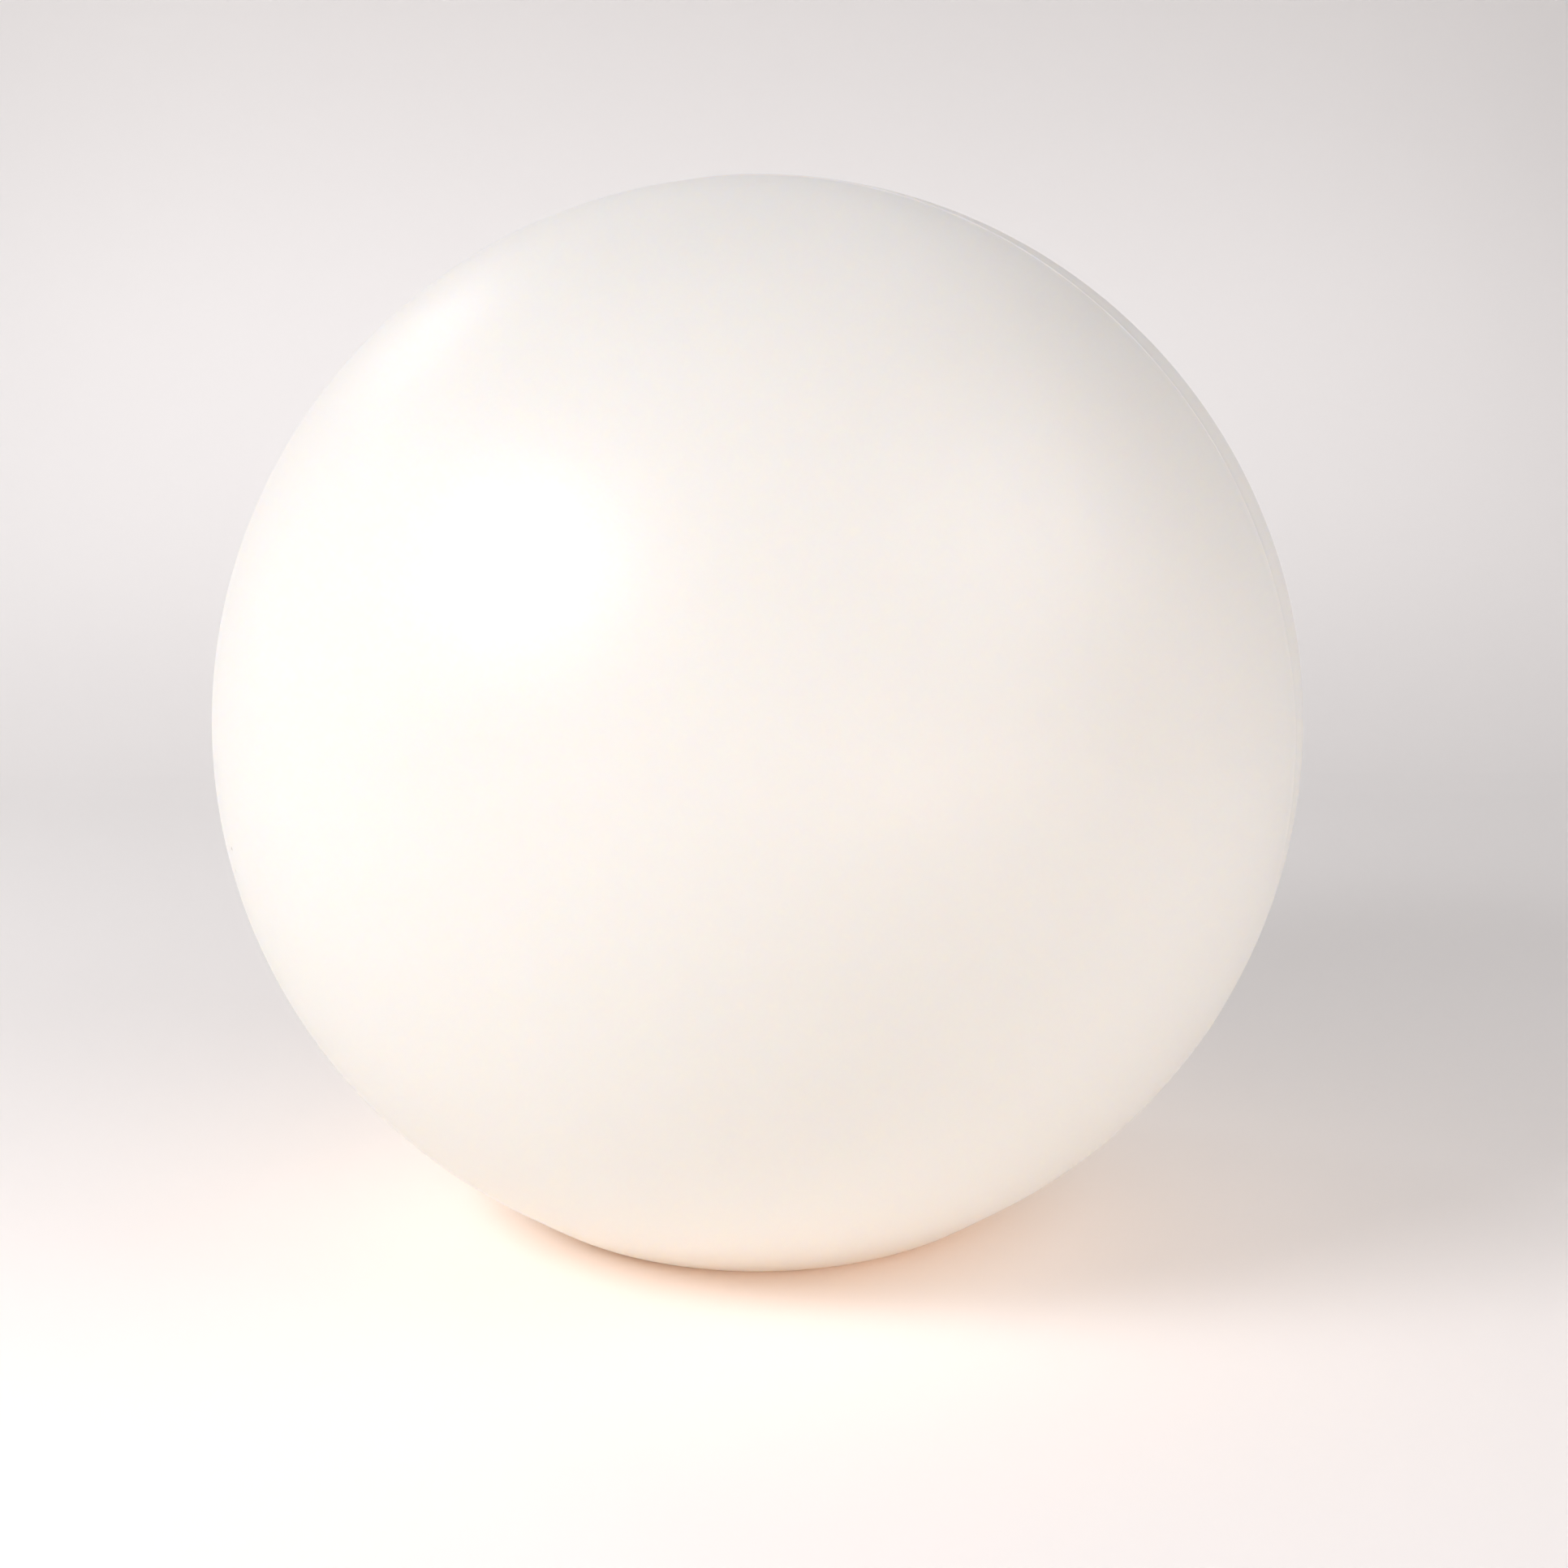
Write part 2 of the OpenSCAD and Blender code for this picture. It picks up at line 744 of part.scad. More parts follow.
// The fixed end of the strap, with the barb that is pulled through the floor
module cap_anchor() {
    start = hinge_y + strap_bend_r + gap;
    barb_tip_r = anchor_stem_d / 3;
    color([0.2, 0.2, 0.21]) {
        translate([-strap_w / 2, start, strap_z - strap_t / 2])
            cube([strap_w, anchor_y - start, strap_t]);
        translate([0, anchor_y, strap_z - strap_t / 2])
            cylinder(h = base_z - strap_z + strap_t / 2, r = anchor_head_d / 2);
        translate([0, anchor_y, base_z - fit]) cylinder(h = base_t + fit, r = anchor_stem_d / 2);
        translate([0, anchor_y, base_top])
            cylinder(h = anchor_barb_h, r1 = anchor_barb_d / 2, r2 = barb_tip_r);
    }
}

module battery_cradle() {
    saddle_w = 2 * (pack_half + saddle_edge);
    color([0.12, 0.12, 0.13])
        difference() {
            union() {
                translate([0, 0, cradle_z]) block([2 * plate_x, 2 * plate_y, cradle_t]);
                translate([0, 0, cradle_z]) block([saddle_w, 2 * end_y, cradle_t]);
                for (end = [-1, 1])
                    translate([0, end * saddle_y, cradle_z])
                        block([saddle_w, saddle_depth, cradle_t + saddle_h]);
            }
            for (i = [-1 : 1])
                translate([i * cell_pitch, 0, cell_z])
                    rotate([90, 0, 0])
                        cylinder(h = 2 * (end_y + through), r = cell_r + gap, center = true);
            corners(post_x, post_y)
                translate([0, 0, cradle_z - through])
                    cylinder(h = cradle_t + 2 * through, r = post_top_d / 2 + gap);
            both_sides(clamp_screw_x)
                translate([0, 0, cradle_z - through])
                    cylinder(h = cradle_t + 2 * through, r = screw_d / 2 + gap);
        }
}

// One cell: sleeve, crimp groove and the raised end
module cell() {
    rotate([-90, 0, 0])
        rotate_extrude()
            translate([0, -cell_l / 2])
                difference() {
                    union() {
                        square([cell_r, cell_l - terminal_h]);
                        square([terminal_r, cell_l]);
                    }
                    translate([cell_r + crimp_r / 2, cell_l - crimp_from_end]) circle(r = crimp_r);
                }
}

module battery_cells() {
    color([0.2, 0.35, 0.65])
        for (i = [-1 : 1])
            translate([i * cell_pitch, 0, cell_z]) cell();
}

module cell_strips() {
    color([0.8, 0.8, 0.78])
        for (end = [-1, 1])
            translate([0, end * (cell_l / 2 + tab_t / 2), cell_z - strip_h / 2])
                block([2 * cell_pitch + strip_h, tab_t, strip_h]);
}

module battery_clamp() {
    color([0.85, 0.85, 0.84]) {
        translate([0, 0, cell_top + gap]) block([2 * (clamp_in + clamp_t), clamp_w, clamp_t]);
        both_sides(clamp_in + clamp_t / 2)
            translate([0, 0, cradle_top])
                block([clamp_t, clamp_w, cell_top + gap - cradle_top + fit]);
        for (side = [-1, 1])
            difference() {
                translate([side * (clamp_in + plate_x) / 2, 0, cradle_top])
                    block([plate_x - clamp_in, clamp_w / 2, clamp_t]);
                translate([side * clamp_screw_x, 0, cradle_top - through])
                    cylinder(h = clamp_t + 2 * through, r = screw_d / 2 + gap);
            }
    }
}

module clamp_screws() {
    color([0.75, 0.76, 0.77])
        translate([0, 0, cradle_top + clamp_t])
            both_sides(clamp_screw_x)
                screw_down(screw_d, clamp_t + cradle_t + clamp_screw_l - thread_spare,
                    head_d, head_h);
}

module main_board() {
    color([0.1, 0.4, 0.2])
        difference() {
            translate([0, 0, main_z]) cylinder(h = board_t, r = main_r);
            around(dome_screw_count, dome_post_r)
                translate([0, 0, main_z - through])
                    cylinder(h = board_t + 2 * through, r = post_notch_r);
            corners(post_x, post_y)
                translate([0, 0, main_z - through])
                    cylinder(h = board_t + 2 * through, r = small_screw_d / 2 + fit);
        }
}

// Parts on the main board: driver inductor, capacitors, controller and output transistors
module board_parts() {
    color([0.25, 0.25, 0.27])
        translate([0, 0, main_top]) {
            translate(inductor_place) block(inductor);
            translate(controller_place) block(controller);
            for (i = [0, 1])
                translate([capacitor_x + i * capacitor_pitch, capacitor_y, 0])
                    cylinder(h = capacitor_h, r = capacitor_r);
            for (i = [-1 : 1])
                translate([i * transistor_pitch, transistor_y, 0]) block(transistor);
        }
}

module board_connectors() {
    color([0.93, 0.92, 0.88]) {
        for (place = [battery_plug, switch_plug, charge_plug])
            translate([place[0], place[1], connector_z])
                block([connector_w, connector_depth, connector_h]);
        translate([led_plug[0], led_plug[1], main_top])
            block([connector_w, connector_depth, connector_h]);
    }
}

module main_board_screws() {
    color([0.75, 0.76, 0.77])
        translate([0, 0, main_top])
            corners(post_x, post_y)
                screw_down(small_screw_d, board_t + main_screw_l - thread_spare,
                    small_head_d, small_head_h);
}

module rim_gasket() {
    color([0.25, 0.25, 0.26])
        translate([0, 0, can_top])
            difference() {
                union() {
                    difference() {
                        cylinder(h = rim_gasket_t, r = spreader_r);
                        translate([0, 0, -through])
                            cylinder(h = rim_gasket_t + 2 * through, r = can_in);
                    }
                    intersection() {
                        around(dome_screw_count, dome_post_r) cylinder(h = rim_gasket_t, r = post_r);
                        cylinder(h = rim_gasket_t, r = spreader_r);
                    }
                }
                around(dome_screw_count, dome_post_r)
                    translate([0, 0, -through])
                        cylinder(h = rim_gasket_t + 2 * through, r = screw_d / 2 + gap);
            }
}

module heat_spreader() {
    color([0.78, 0.79, 0.8])
        translate([0, 0, spreader_z])
            difference() {
                cylinder(h = spreader_t, r = spreader_r);
                around(dome_screw_count, dome_post_r)
                    translate([0, 0, -through])
                        cylinder(h = spreader_t + 2 * through, r = screw_d / 2 + gap);
                around(led_screw_count, led_screw_r, led_screw_turn)
                    translate([0, 0, -through])
                        cylinder(h = spreader_t + 2 * through, r = small_screw_d / 2 + fit);
                translate([0, -lead_hole_y, -through])
                    cylinder(h = spreader_t + 2 * through, r = lead_hole_r);
            }
}

module led_board() {
    color([0.95, 0.95, 0.94])
        translate([0, 0, led_board_z])
            difference() {
                cylinder(h = board_t, r = led_board_d / 2);
                around(led_screw_count, led_screw_r, led_screw_turn)
                    translate([0, 0, -through])
                        cylinder(h = board_t + 2 * through, r = small_screw_d / 2 + fit);
                translate([0, -lead_hole_y, -through])
                    cylinder(h = board_t + 2 * through, r = lead_hole_r - gap);
            }
}

module led_chips() {
    color([0.98, 0.95, 0.75])
        translate([0, 0, led_z]) {
            around(outer_leds, outer_ring_r, 180 / outer_leds) block([led_w, led_w, led_h]);
            around(inner_leds, inner_ring_r, 180 / inner_leds) block([led_w, led_w, led_h]);
        }
}

module ir_receiver() {
    color([0.12, 0.1, 0.12])
        translate([0, 0, led_z]) {
            block(receiver);
            translate([0, -receiver[1] / 2, receiver_lens_z]) sphere(r = receiver_lens_r);
        }
}

module led_board_screws() {
    color([0.75, 0.76, 0.77])
        translate([0, 0, led_z])
            around(led_screw_count, led_screw_r, led_screw_turn)
                screw_down(small_screw_d, board_t + spreader_t, small_head_d, small_head_h);
}

module diffuser_dome() {
    sphere_z = dome_h - dome_sphere_r;
    color([0.93, 0.94, 0.95])
        translate([0, 0, led_board_z])
            difference() {
                rotate_extrude($fn = 180)
                    difference() {
                        union() {
                            square([spreader_r, dome_flange_t]);
                            square([dome_out, dome_side_h]);
                            intersection() {
                                translate([0, sphere_z]) circle(r = dome_sphere_r, $fn = 360);
                                translate([0, dome_side_h]) square([dome_out + through, dome_h]);
                            }
                        }
                        square([dome_in, dome_side_h - dome_wall]);
                        intersection() {
                            translate([0, sphere_z]) circle(r = dome_sphere_r - dome_wall, $fn = 360);
                            translate([0, dome_side_h - dome_wall - fit]) square([dome_in, dome_h]);
                        }
                    }
                around(dome_screw_count, dome_post_r)
                    translate([0, 0, -through])
                        cylinder(h = dome_flange_t + 2 * through, r = screw_d / 2 + gap);
            }
}

module dome_screws() {
    color([0.75, 0.76, 0.77])
        translate([0, 0, led_board_z + dome_flange_t])
            around(dome_screw_count, dome_post_r) screw_down(screw_d, dome_screw_l, head_d, head_h);
}

// Two power leads from the cells' back strip up to the battery connector
module battery_leads() {
    side_y = cell_l / 2 + tab_t + power_lead_d / 2;
    face_y = battery_plug[1] + connector_depth / 2;
    plug_z = connector_z + lead_entry;
    color([0.7, 0.12, 0.1])
        for (side = [-1, 1])
            lead([
                [side * 8, side_y, cell_z],
                [side * 8, side_y, cell_z + 3],
                [side * 7, side_y + 0.6, cell_top - 1],
                [side * 3, side_y - 1, plug_z - 0.4],
                [side * 2, face_y + 2, plug_z],
                [side * 2, face_y, plug_z]
            ], power_lead_d, [1, 0, 0]);
}

// Three signal leads from the switch board, up beside the cells, to their connector
module switch_leads() {
    start_x = 3.5 - switch_board_w / 2;
    start_y = -button_row - 6;
    rise_x = 2 - post_x;
    rise_y = -post_y - 10;
    plug_x = switch_plug[0];
    face_y = switch_plug[1] - connector_depth / 2;
    plug_z = connector_z + lead_entry;
    color([0.85, 0.84, 0.8])
        for (i = [-1 : 1])
            lead([
                [start_x, start_y, switch_board_top],
                [start_x, start_y, switch_board_top + 1.2],
                [rise_x + 2, rise_y + 1, cradle_z - 0.5],
                [rise_x, rise_y, cradle_z + 6],
                [rise_x, rise_y, cell_z + 3],
                [plug_x - 5, face_y - 4, plug_z - 1],
                [plug_x, face_y - 2, plug_z],
                [plug_x, face_y, plug_z]
            ], signal_lead_d, [0.7, -0.7, 0], i * lead_pitch * signal_lead_d);
}

// Two power leads from the charging socket, round the end of the cells, to their connector
module charge_leads() {
    tail_z = jack_face + socket_face_t + barrel_l;
    rise_y = end_y + 3.6;
    plug_x = charge_plug[0];
    rise_x = plug_x + 2;
    face_y = charge_plug[1] + connector_depth / 2;
    plug_z = connector_z + lead_entry;
    color([0.15, 0.15, 0.16])
        for (i = [-0.5, 0.5])
            lead([
                [0, socket_y, tail_z],
                [0, socket_y, tail_z + 1.2],
                [2, socket_y + 1.6, tail_z + 1.8],
                [12, end_y - 2, tail_z + 1.8],
                [rise_x - 1, rise_y, cradle_z - 1],
                [rise_x, rise_y, cradle_z + 6],
                [rise_x, rise_y, cell_top - 3],
                [plug_x + 1, face_y + 5, plug_z - 0.4],
                [plug_x, face_y + 2, plug_z],
                [plug_x, face_y, plug_z]
            ], power_lead_d, [1, 0, 0], i * lead_pitch * power_lead_d);
}

// Four signal leads from the main board, through the heat spreader, onto the LED board
module led_leads() {
    face_y = led_plug[1] - connector_depth / 2;
    plug_z = main_top + lead_entry;
    color([0.9, 0.9, 0.88])
        for (i = [-1.5 : 1 : 1.5])
            lead([
                [0, face_y, plug_z],
                [0, face_y - 1.5, plug_z],
                [0, -lead_hole_y, can_top - 4],
                [0, -lead_hole_y, led_z + 0.6]
            ], signal_lead_d, [1, 0, 0], i * lead_pitch * signal_lead_d);
}

globe_shell();
shell_inserts();
base_gasket();
base_housing();
base_screws();
power_button();
mode_button();
switch_boot();
switch_board();
tact_switches();
indicator_chip();
switch_board_screws();
light_pipe();
charge_socket();
socket_nut();
charge_cap();
cap_anchor();
battery_cradle();
battery_cells();
cell_strips();
battery_clamp();
clamp_screws();
main_board();
board_parts();
board_connectors();
main_board_screws();
rim_gasket();
heat_spreader();
led_board();
led_chips();
ir_receiver();
led_board_screws();
diffuser_dome();
dome_screws();
battery_leads();
switch_leads();
charge_leads();
led_leads();
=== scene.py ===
import json
import math

import bmesh
import bpy
from mathutils import Euler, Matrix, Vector, noise


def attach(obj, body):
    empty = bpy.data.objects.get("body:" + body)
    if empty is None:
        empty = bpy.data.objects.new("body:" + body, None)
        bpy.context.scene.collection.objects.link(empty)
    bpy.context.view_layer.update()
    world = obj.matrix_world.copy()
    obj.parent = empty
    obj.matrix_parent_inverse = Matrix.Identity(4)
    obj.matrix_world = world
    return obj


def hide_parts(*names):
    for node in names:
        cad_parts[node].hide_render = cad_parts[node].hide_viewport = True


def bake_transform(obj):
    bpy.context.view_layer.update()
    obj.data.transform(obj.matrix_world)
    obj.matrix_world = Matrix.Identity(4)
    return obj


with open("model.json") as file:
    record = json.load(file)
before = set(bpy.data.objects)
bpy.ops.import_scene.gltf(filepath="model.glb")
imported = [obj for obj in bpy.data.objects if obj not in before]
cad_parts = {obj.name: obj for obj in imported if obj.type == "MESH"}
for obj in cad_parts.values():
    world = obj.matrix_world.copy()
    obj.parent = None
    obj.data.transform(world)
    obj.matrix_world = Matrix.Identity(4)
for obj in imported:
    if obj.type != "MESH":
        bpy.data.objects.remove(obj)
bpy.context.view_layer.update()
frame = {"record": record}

# Sizes of the globe, in metres
MM = 0.001
GLOBE_R = 199.8 * MM
GLOBE_Z = 184.7 * MM
WALL = 3 * MM
PARTING_TURN = math.radians(20.9)
PARTING_WIDTH = 1.1 * MM
FLASH_HEIGHT = 0.24 * MM
BACK_UP = 0.42 * MM
BACK_LEFT = 0.28 * MM
BACK_OUT = 0.1 * MM
NICK_DEPTH = 0.5 * MM
NICK_LIP = 0.18 * MM
SCUFF_DEPTH = 0.25 * MM
FOOT_R = 80 * MM
FOOT_SWELL = 1.5 * MM
FOOT_BLEND_R = 112 * MM
RECESS_R = 66 * MM
RECESS_TOP_R = 65 * MM
RECESS_H = 26 * MM
MOUTH_R = 52 * MM

# Sizes of the underside, in millimetres
BOLT_R = 58.5
SCREWS = 6
BASE_Z = 21.4
BASE_TOP = 24.4
BOSS_R = 5
BOSS_TOP = 39
INSERT_HOLE_R = 2.85
INSERT_HOLE_TOP = 35.3
BUTTON_X = 12
BUTTON_Y = -22
BUTTON_R = 7
BUTTON_FACE = 20.2
DISH_R = 22.4
DISH_DEPTH = 0.5
MARK_FLOOR = 21.1
DOTS_R = 2.8
SOCKET_Y = 24
SOCKET_FACE = 19.9
CAP_Z = 17.4
STRAP_Z = 18.5
STRAP_START_Y = SOCKET_Y + 5.8
HINGE_Y = 32.5
ANCHOR_Y = 37.5

# Places inside the lamp that finishes follow, in millimetres
SWITCH_LID_Z = 30.3
CELL_PITCH = 19.2
CELL_Z = 50.2
CAN_MIDDLES = ((18, 6), (28, 6))
FERRITE_MIDDLE = (-18, 4)
LED_RINGS = (28.0, 14.0)
LED_WINDOW_Z = 86.8

# Where the photograph's camera stands, chosen so that the globe's outline and foot fall where it has them
PHOTO_SIDE = 1932
GLOBE_PIXEL = (934.5, 892.0)
FOCAL_PIXELS = 3299
CAMERA_AWAY = 1.0
CAMERA_UP = math.radians(10.4)
SENSOR = 36.0
GLOBE_CENTRE = Vector((0, 0, GLOBE_Z))

# The nick in the globe's left side, the scuff below it and the scratch above, by pixels of the photograph
NICK_PIXEL = (285.5, 1046)
SCUFF_PIXEL = (290.5, 1073)
SCRATCH_TOP_PIXEL = (286, 1014)

# How far light travels in the globe's wall, in metres, and its orange peel's size and depth, in millimetres
WALL_SCATTER = 7 * MM
PEEL_SIZE = 1.6
PEEL_DEPTH = 0.035


def put_down():
    """Leaves edit mode and lets go of everything that is selected."""
    if bpy.context.object and bpy.context.object.mode != "OBJECT":
        bpy.ops.object.mode_set(mode="OBJECT")
    bpy.ops.object.select_all(action="DESELECT")


def pick_up(piece):
    put_down()
    bpy.context.view_layer.objects.active = piece
    piece.select_set(True)


def newest(name):
    """The primitive that was just added, under its own name."""
    piece = bpy.context.object
    piece.name = name
    piece.data.name = name
    return piece


def settle(piece):
    """Puts a piece's place, turn and size into its mesh."""
    pick_up(piece)
    bpy.ops.object.transform_apply(location=True, rotation=True, scale=True)
    return piece


def edit(piece, kind="FACE"):
    pick_up(piece)
    bpy.ops.object.mode_set(mode="EDIT")
    bpy.ops.mesh.select_mode(type=kind)
    bpy.ops.mesh.select_all(action="DESELECT")


def choose_faces(piece, wanted):
    """Selects the faces whose middle and normal are wanted, in edit mode."""
    mesh = bmesh.from_edit_mesh(piece.data)
    for face in mesh.faces:
        face.select_set(bool(wanted(face.calc_center_median(), face.normal)))
    bmesh.update_edit_mesh(piece.data)


def choose_edges(piece, wanted):
    """Selects the edges both of whose ends are wanted, in edit mode."""
    mesh = bmesh.from_edit_mesh(piece.data)
    for edge in mesh.edges:
        edge.select_set(all(wanted(v.co) for v in edge.verts))
    bmesh.update_edit_mesh(piece.data)


def take_all():
    bpy.ops.mesh.select_all(action="SELECT")


def draw_out(x, y, z):
    """Extrudes what is selected, in metres."""
    bpy.ops.mesh.extrude_region_move(TRANSFORM_OT_translate={"value": (x, y, z)})


def reshape(piece, kind, **settings):
    """Adds a modifier with its settings and applies it."""
    modifier = piece.modifiers.new(kind.lower(), kind)
    for name, value in settings.items():
        setattr(modifier, name, value)
    pick_up(piece)
    bpy.ops.object.modifier_apply(modifier=modifier.name)


def push(piece, name, share, height, direction="NORMAL"):
    """Moves the skin by height where share, a function of place, says how much."""
    group = piece.vertex_groups.new(name=name)
    for v in piece.data.vertices:
        much = share(v.co)
        if much > 0:
            group.add([v.index], min(1.0, much), "REPLACE")
    reshape(piece, "DISPLACE", direction=direction, mid_level=0, strength=height, vertex_group=name)
    piece.vertex_groups.clear()


def ease(x, low, high):
    """0 below low, 1 above high and smooth between them."""
    t = max(0.0, min(1.0, (x - low) / (high - low)))
    return t * t * (3 - 2 * t)


def smooth(piece, angle=35):
    pick_up(piece)
    bpy.ops.object.shade_smooth_by_angle(angle=math.radians(angle))
    return piece


def round_edges(piece, width, segments=3, angle=30):
    """Rounds the edges that are sharper than angle; width in millimetres."""
    reshape(piece, "BEVEL", width=width * MM, segments=segments, limit_method="ANGLE",
            angle_limit=math.radians(angle))


def carve(piece, tool, operation="DIFFERENCE"):
    """Cuts one piece by another, or joins them into one skin, and puts the tool away."""
    reshape(piece, "BOOLEAN", operation=operation, solver="MANIFOLD", object=tool)
    bpy.data.objects.remove(tool)


def copy_of(piece, name, turn=0.0, shift=(0, 0, 0)):
    """A copy with its own mesh, turned about the vertical and then moved, in degrees and millimetres."""
    twin = piece.copy()
    twin.data = piece.data.copy()
    twin.name = name
    twin.data.name = name
    bpy.context.scene.collection.objects.link(twin)
    twin.rotation_euler = (0, 0, math.radians(turn))
    twin.location = Vector(shift) * MM
    return settle(twin)


def joined(pieces, name):
    pick_up(pieces[0])
    for piece in pieces:
        piece.select_set(True)
    bpy.ops.object.join()
    return newest(name)


def turned(name, middle, profile, sides=96):
    """A piece turned as on a lathe, in millimetres: a disc drawn down and in or out through the profile."""
    put_down()
    r, z = profile[0]
    bpy.ops.mesh.primitive_circle_add(
        vertices=sides, radius=r * MM, fill_type="NGON", location=(middle[0] * MM, middle[1] * MM, z * MM))
    piece = settle(newest(name))
    edit(piece)
    take_all()
    for next_r, next_z in profile[1:]:
        draw_out(0, 0, (next_z - z) * MM)
        if next_r != r:
            middle_now = (middle[0] * MM, middle[1] * MM, next_z * MM)
            bpy.ops.transform.resize(value=(next_r / r, next_r / r, 1), center_override=middle_now)
        r, z = next_r, next_z
    take_all()
    bpy.ops.mesh.normals_make_consistent(inside=False)
    put_down()
    return smooth(piece)


def block(name, low, high):
    """A box between two corners in millimetres, as a start to work from."""
    put_down()
    size = [h - l for l, h in zip(low, high)]
    bpy.ops.mesh.primitive_cube_add(size=1, location=[(l + h) / 2 * MM for l, h in zip(low, high)])
    piece = newest(name)
    piece.scale = [s * MM for s in size]
    return settle(piece)


PARTING_NORMAL = Vector((math.sin(PARTING_TURN), math.cos(PARTING_TURN), 0))
CAMERA_PLACE = GLOBE_CENTRE + CAMERA_AWAY * Vector((0, -math.cos(CAMERA_UP), math.sin(CAMERA_UP)))
CAMERA_RIGHT = math.atan((PHOTO_SIDE / 2 - GLOBE_PIXEL[0]) / FOCAL_PIXELS)
CAMERA_DOWN = math.atan((PHOTO_SIDE / 2 - GLOBE_PIXEL[1]) / FOCAL_PIXELS)
CAMERA_TURN = Euler((math.pi / 2 - CAMERA_UP - CAMERA_DOWN, 0, -CAMERA_RIGHT))


def put_camera():
    """The camera at the photograph's viewing angle."""
    camera = bpy.data.objects.new("camera", bpy.data.cameras.new("camera"))
    bpy.context.scene.collection.objects.link(camera)
    camera.data.sensor_width = SENSOR
    camera.data.lens = SENSOR * FOCAL_PIXELS / PHOTO_SIDE
    camera.data.clip_start = 0.01
    camera.data.clip_end = 50
    camera.location = CAMERA_PLACE
    camera.rotation_euler = CAMERA_TURN
    bpy.context.scene.camera = camera


def on_globe(pixel):
    """The place on the globe's front that a pixel of the photograph shows."""
    across = (pixel[0] - PHOTO_SIDE / 2) / FOCAL_PIXELS
    upward = (PHOTO_SIDE / 2 - pixel[1]) / FOCAL_PIXELS
    toward = CAMERA_TURN.to_matrix() @ Vector((across, upward, -1))
    toward.normalize()
    out = CAMERA_PLACE - GLOBE_CENTRE
    half = toward.dot(out)
    inside = half * half - (out.dot(out) - GLOBE_R * GLOBE_R)
    return CAMERA_PLACE + toward * (-half - math.sqrt(max(0.0, inside)))


def behind_parting(co):
    """How far a place is behind the parting plane."""
    return (co - GLOBE_CENTRE).dot(PARTING_NORMAL)


def flash_share(co):
    """The parting line's height: trimmed by hand, so it comes and goes, and faint low down."""
    if abs(behind_parting(co)) > 0.3 * PARTING_WIDTH:
        return 0
    trim = 0.72 + 0.5 * noise.noise(co * 55) + 0.25 * noise.noise(co * 260)
    return max(0.08, trim) * (0.45 + 0.55 * ease(co.z, 0.16, 0.34)) * ease(co.z, 0.004, 0.02)


def back_shift(co):
    """The back mould half sits a little off the front one, most of all at the top."""
    return ease(behind_parting(co), -0.25 * PARTING_WIDTH, 0.25 * PARTING_WIDTH) * ease(co.z, 0.03, 0.24)


def foot_share(co):
    if co.z > GLOBE_Z:
        return 0
    away = math.hypot(co.x, co.y)
    return ease(away, FOOT_BLEND_R, FOOT_R + 3 * MM) ** 1.4


def oval_share(centre, wide, high):
    """1 at the centre of an oval dent and 0 at its edge; half sizes in millimetres."""
    outward = (centre - GLOBE_CENTRE).normalized()
    across = Vector((0, 0, 1)).cross(outward).normalized()
    upward = outward.cross(across)

    def share(co):
        off = co - centre
        away = math.hypot(off.dot(across) / (wide * MM), off.dot(upward) / (high * MM))
        return max(0.0, 1 - away) if off.length < 0.02 else 0
    return share


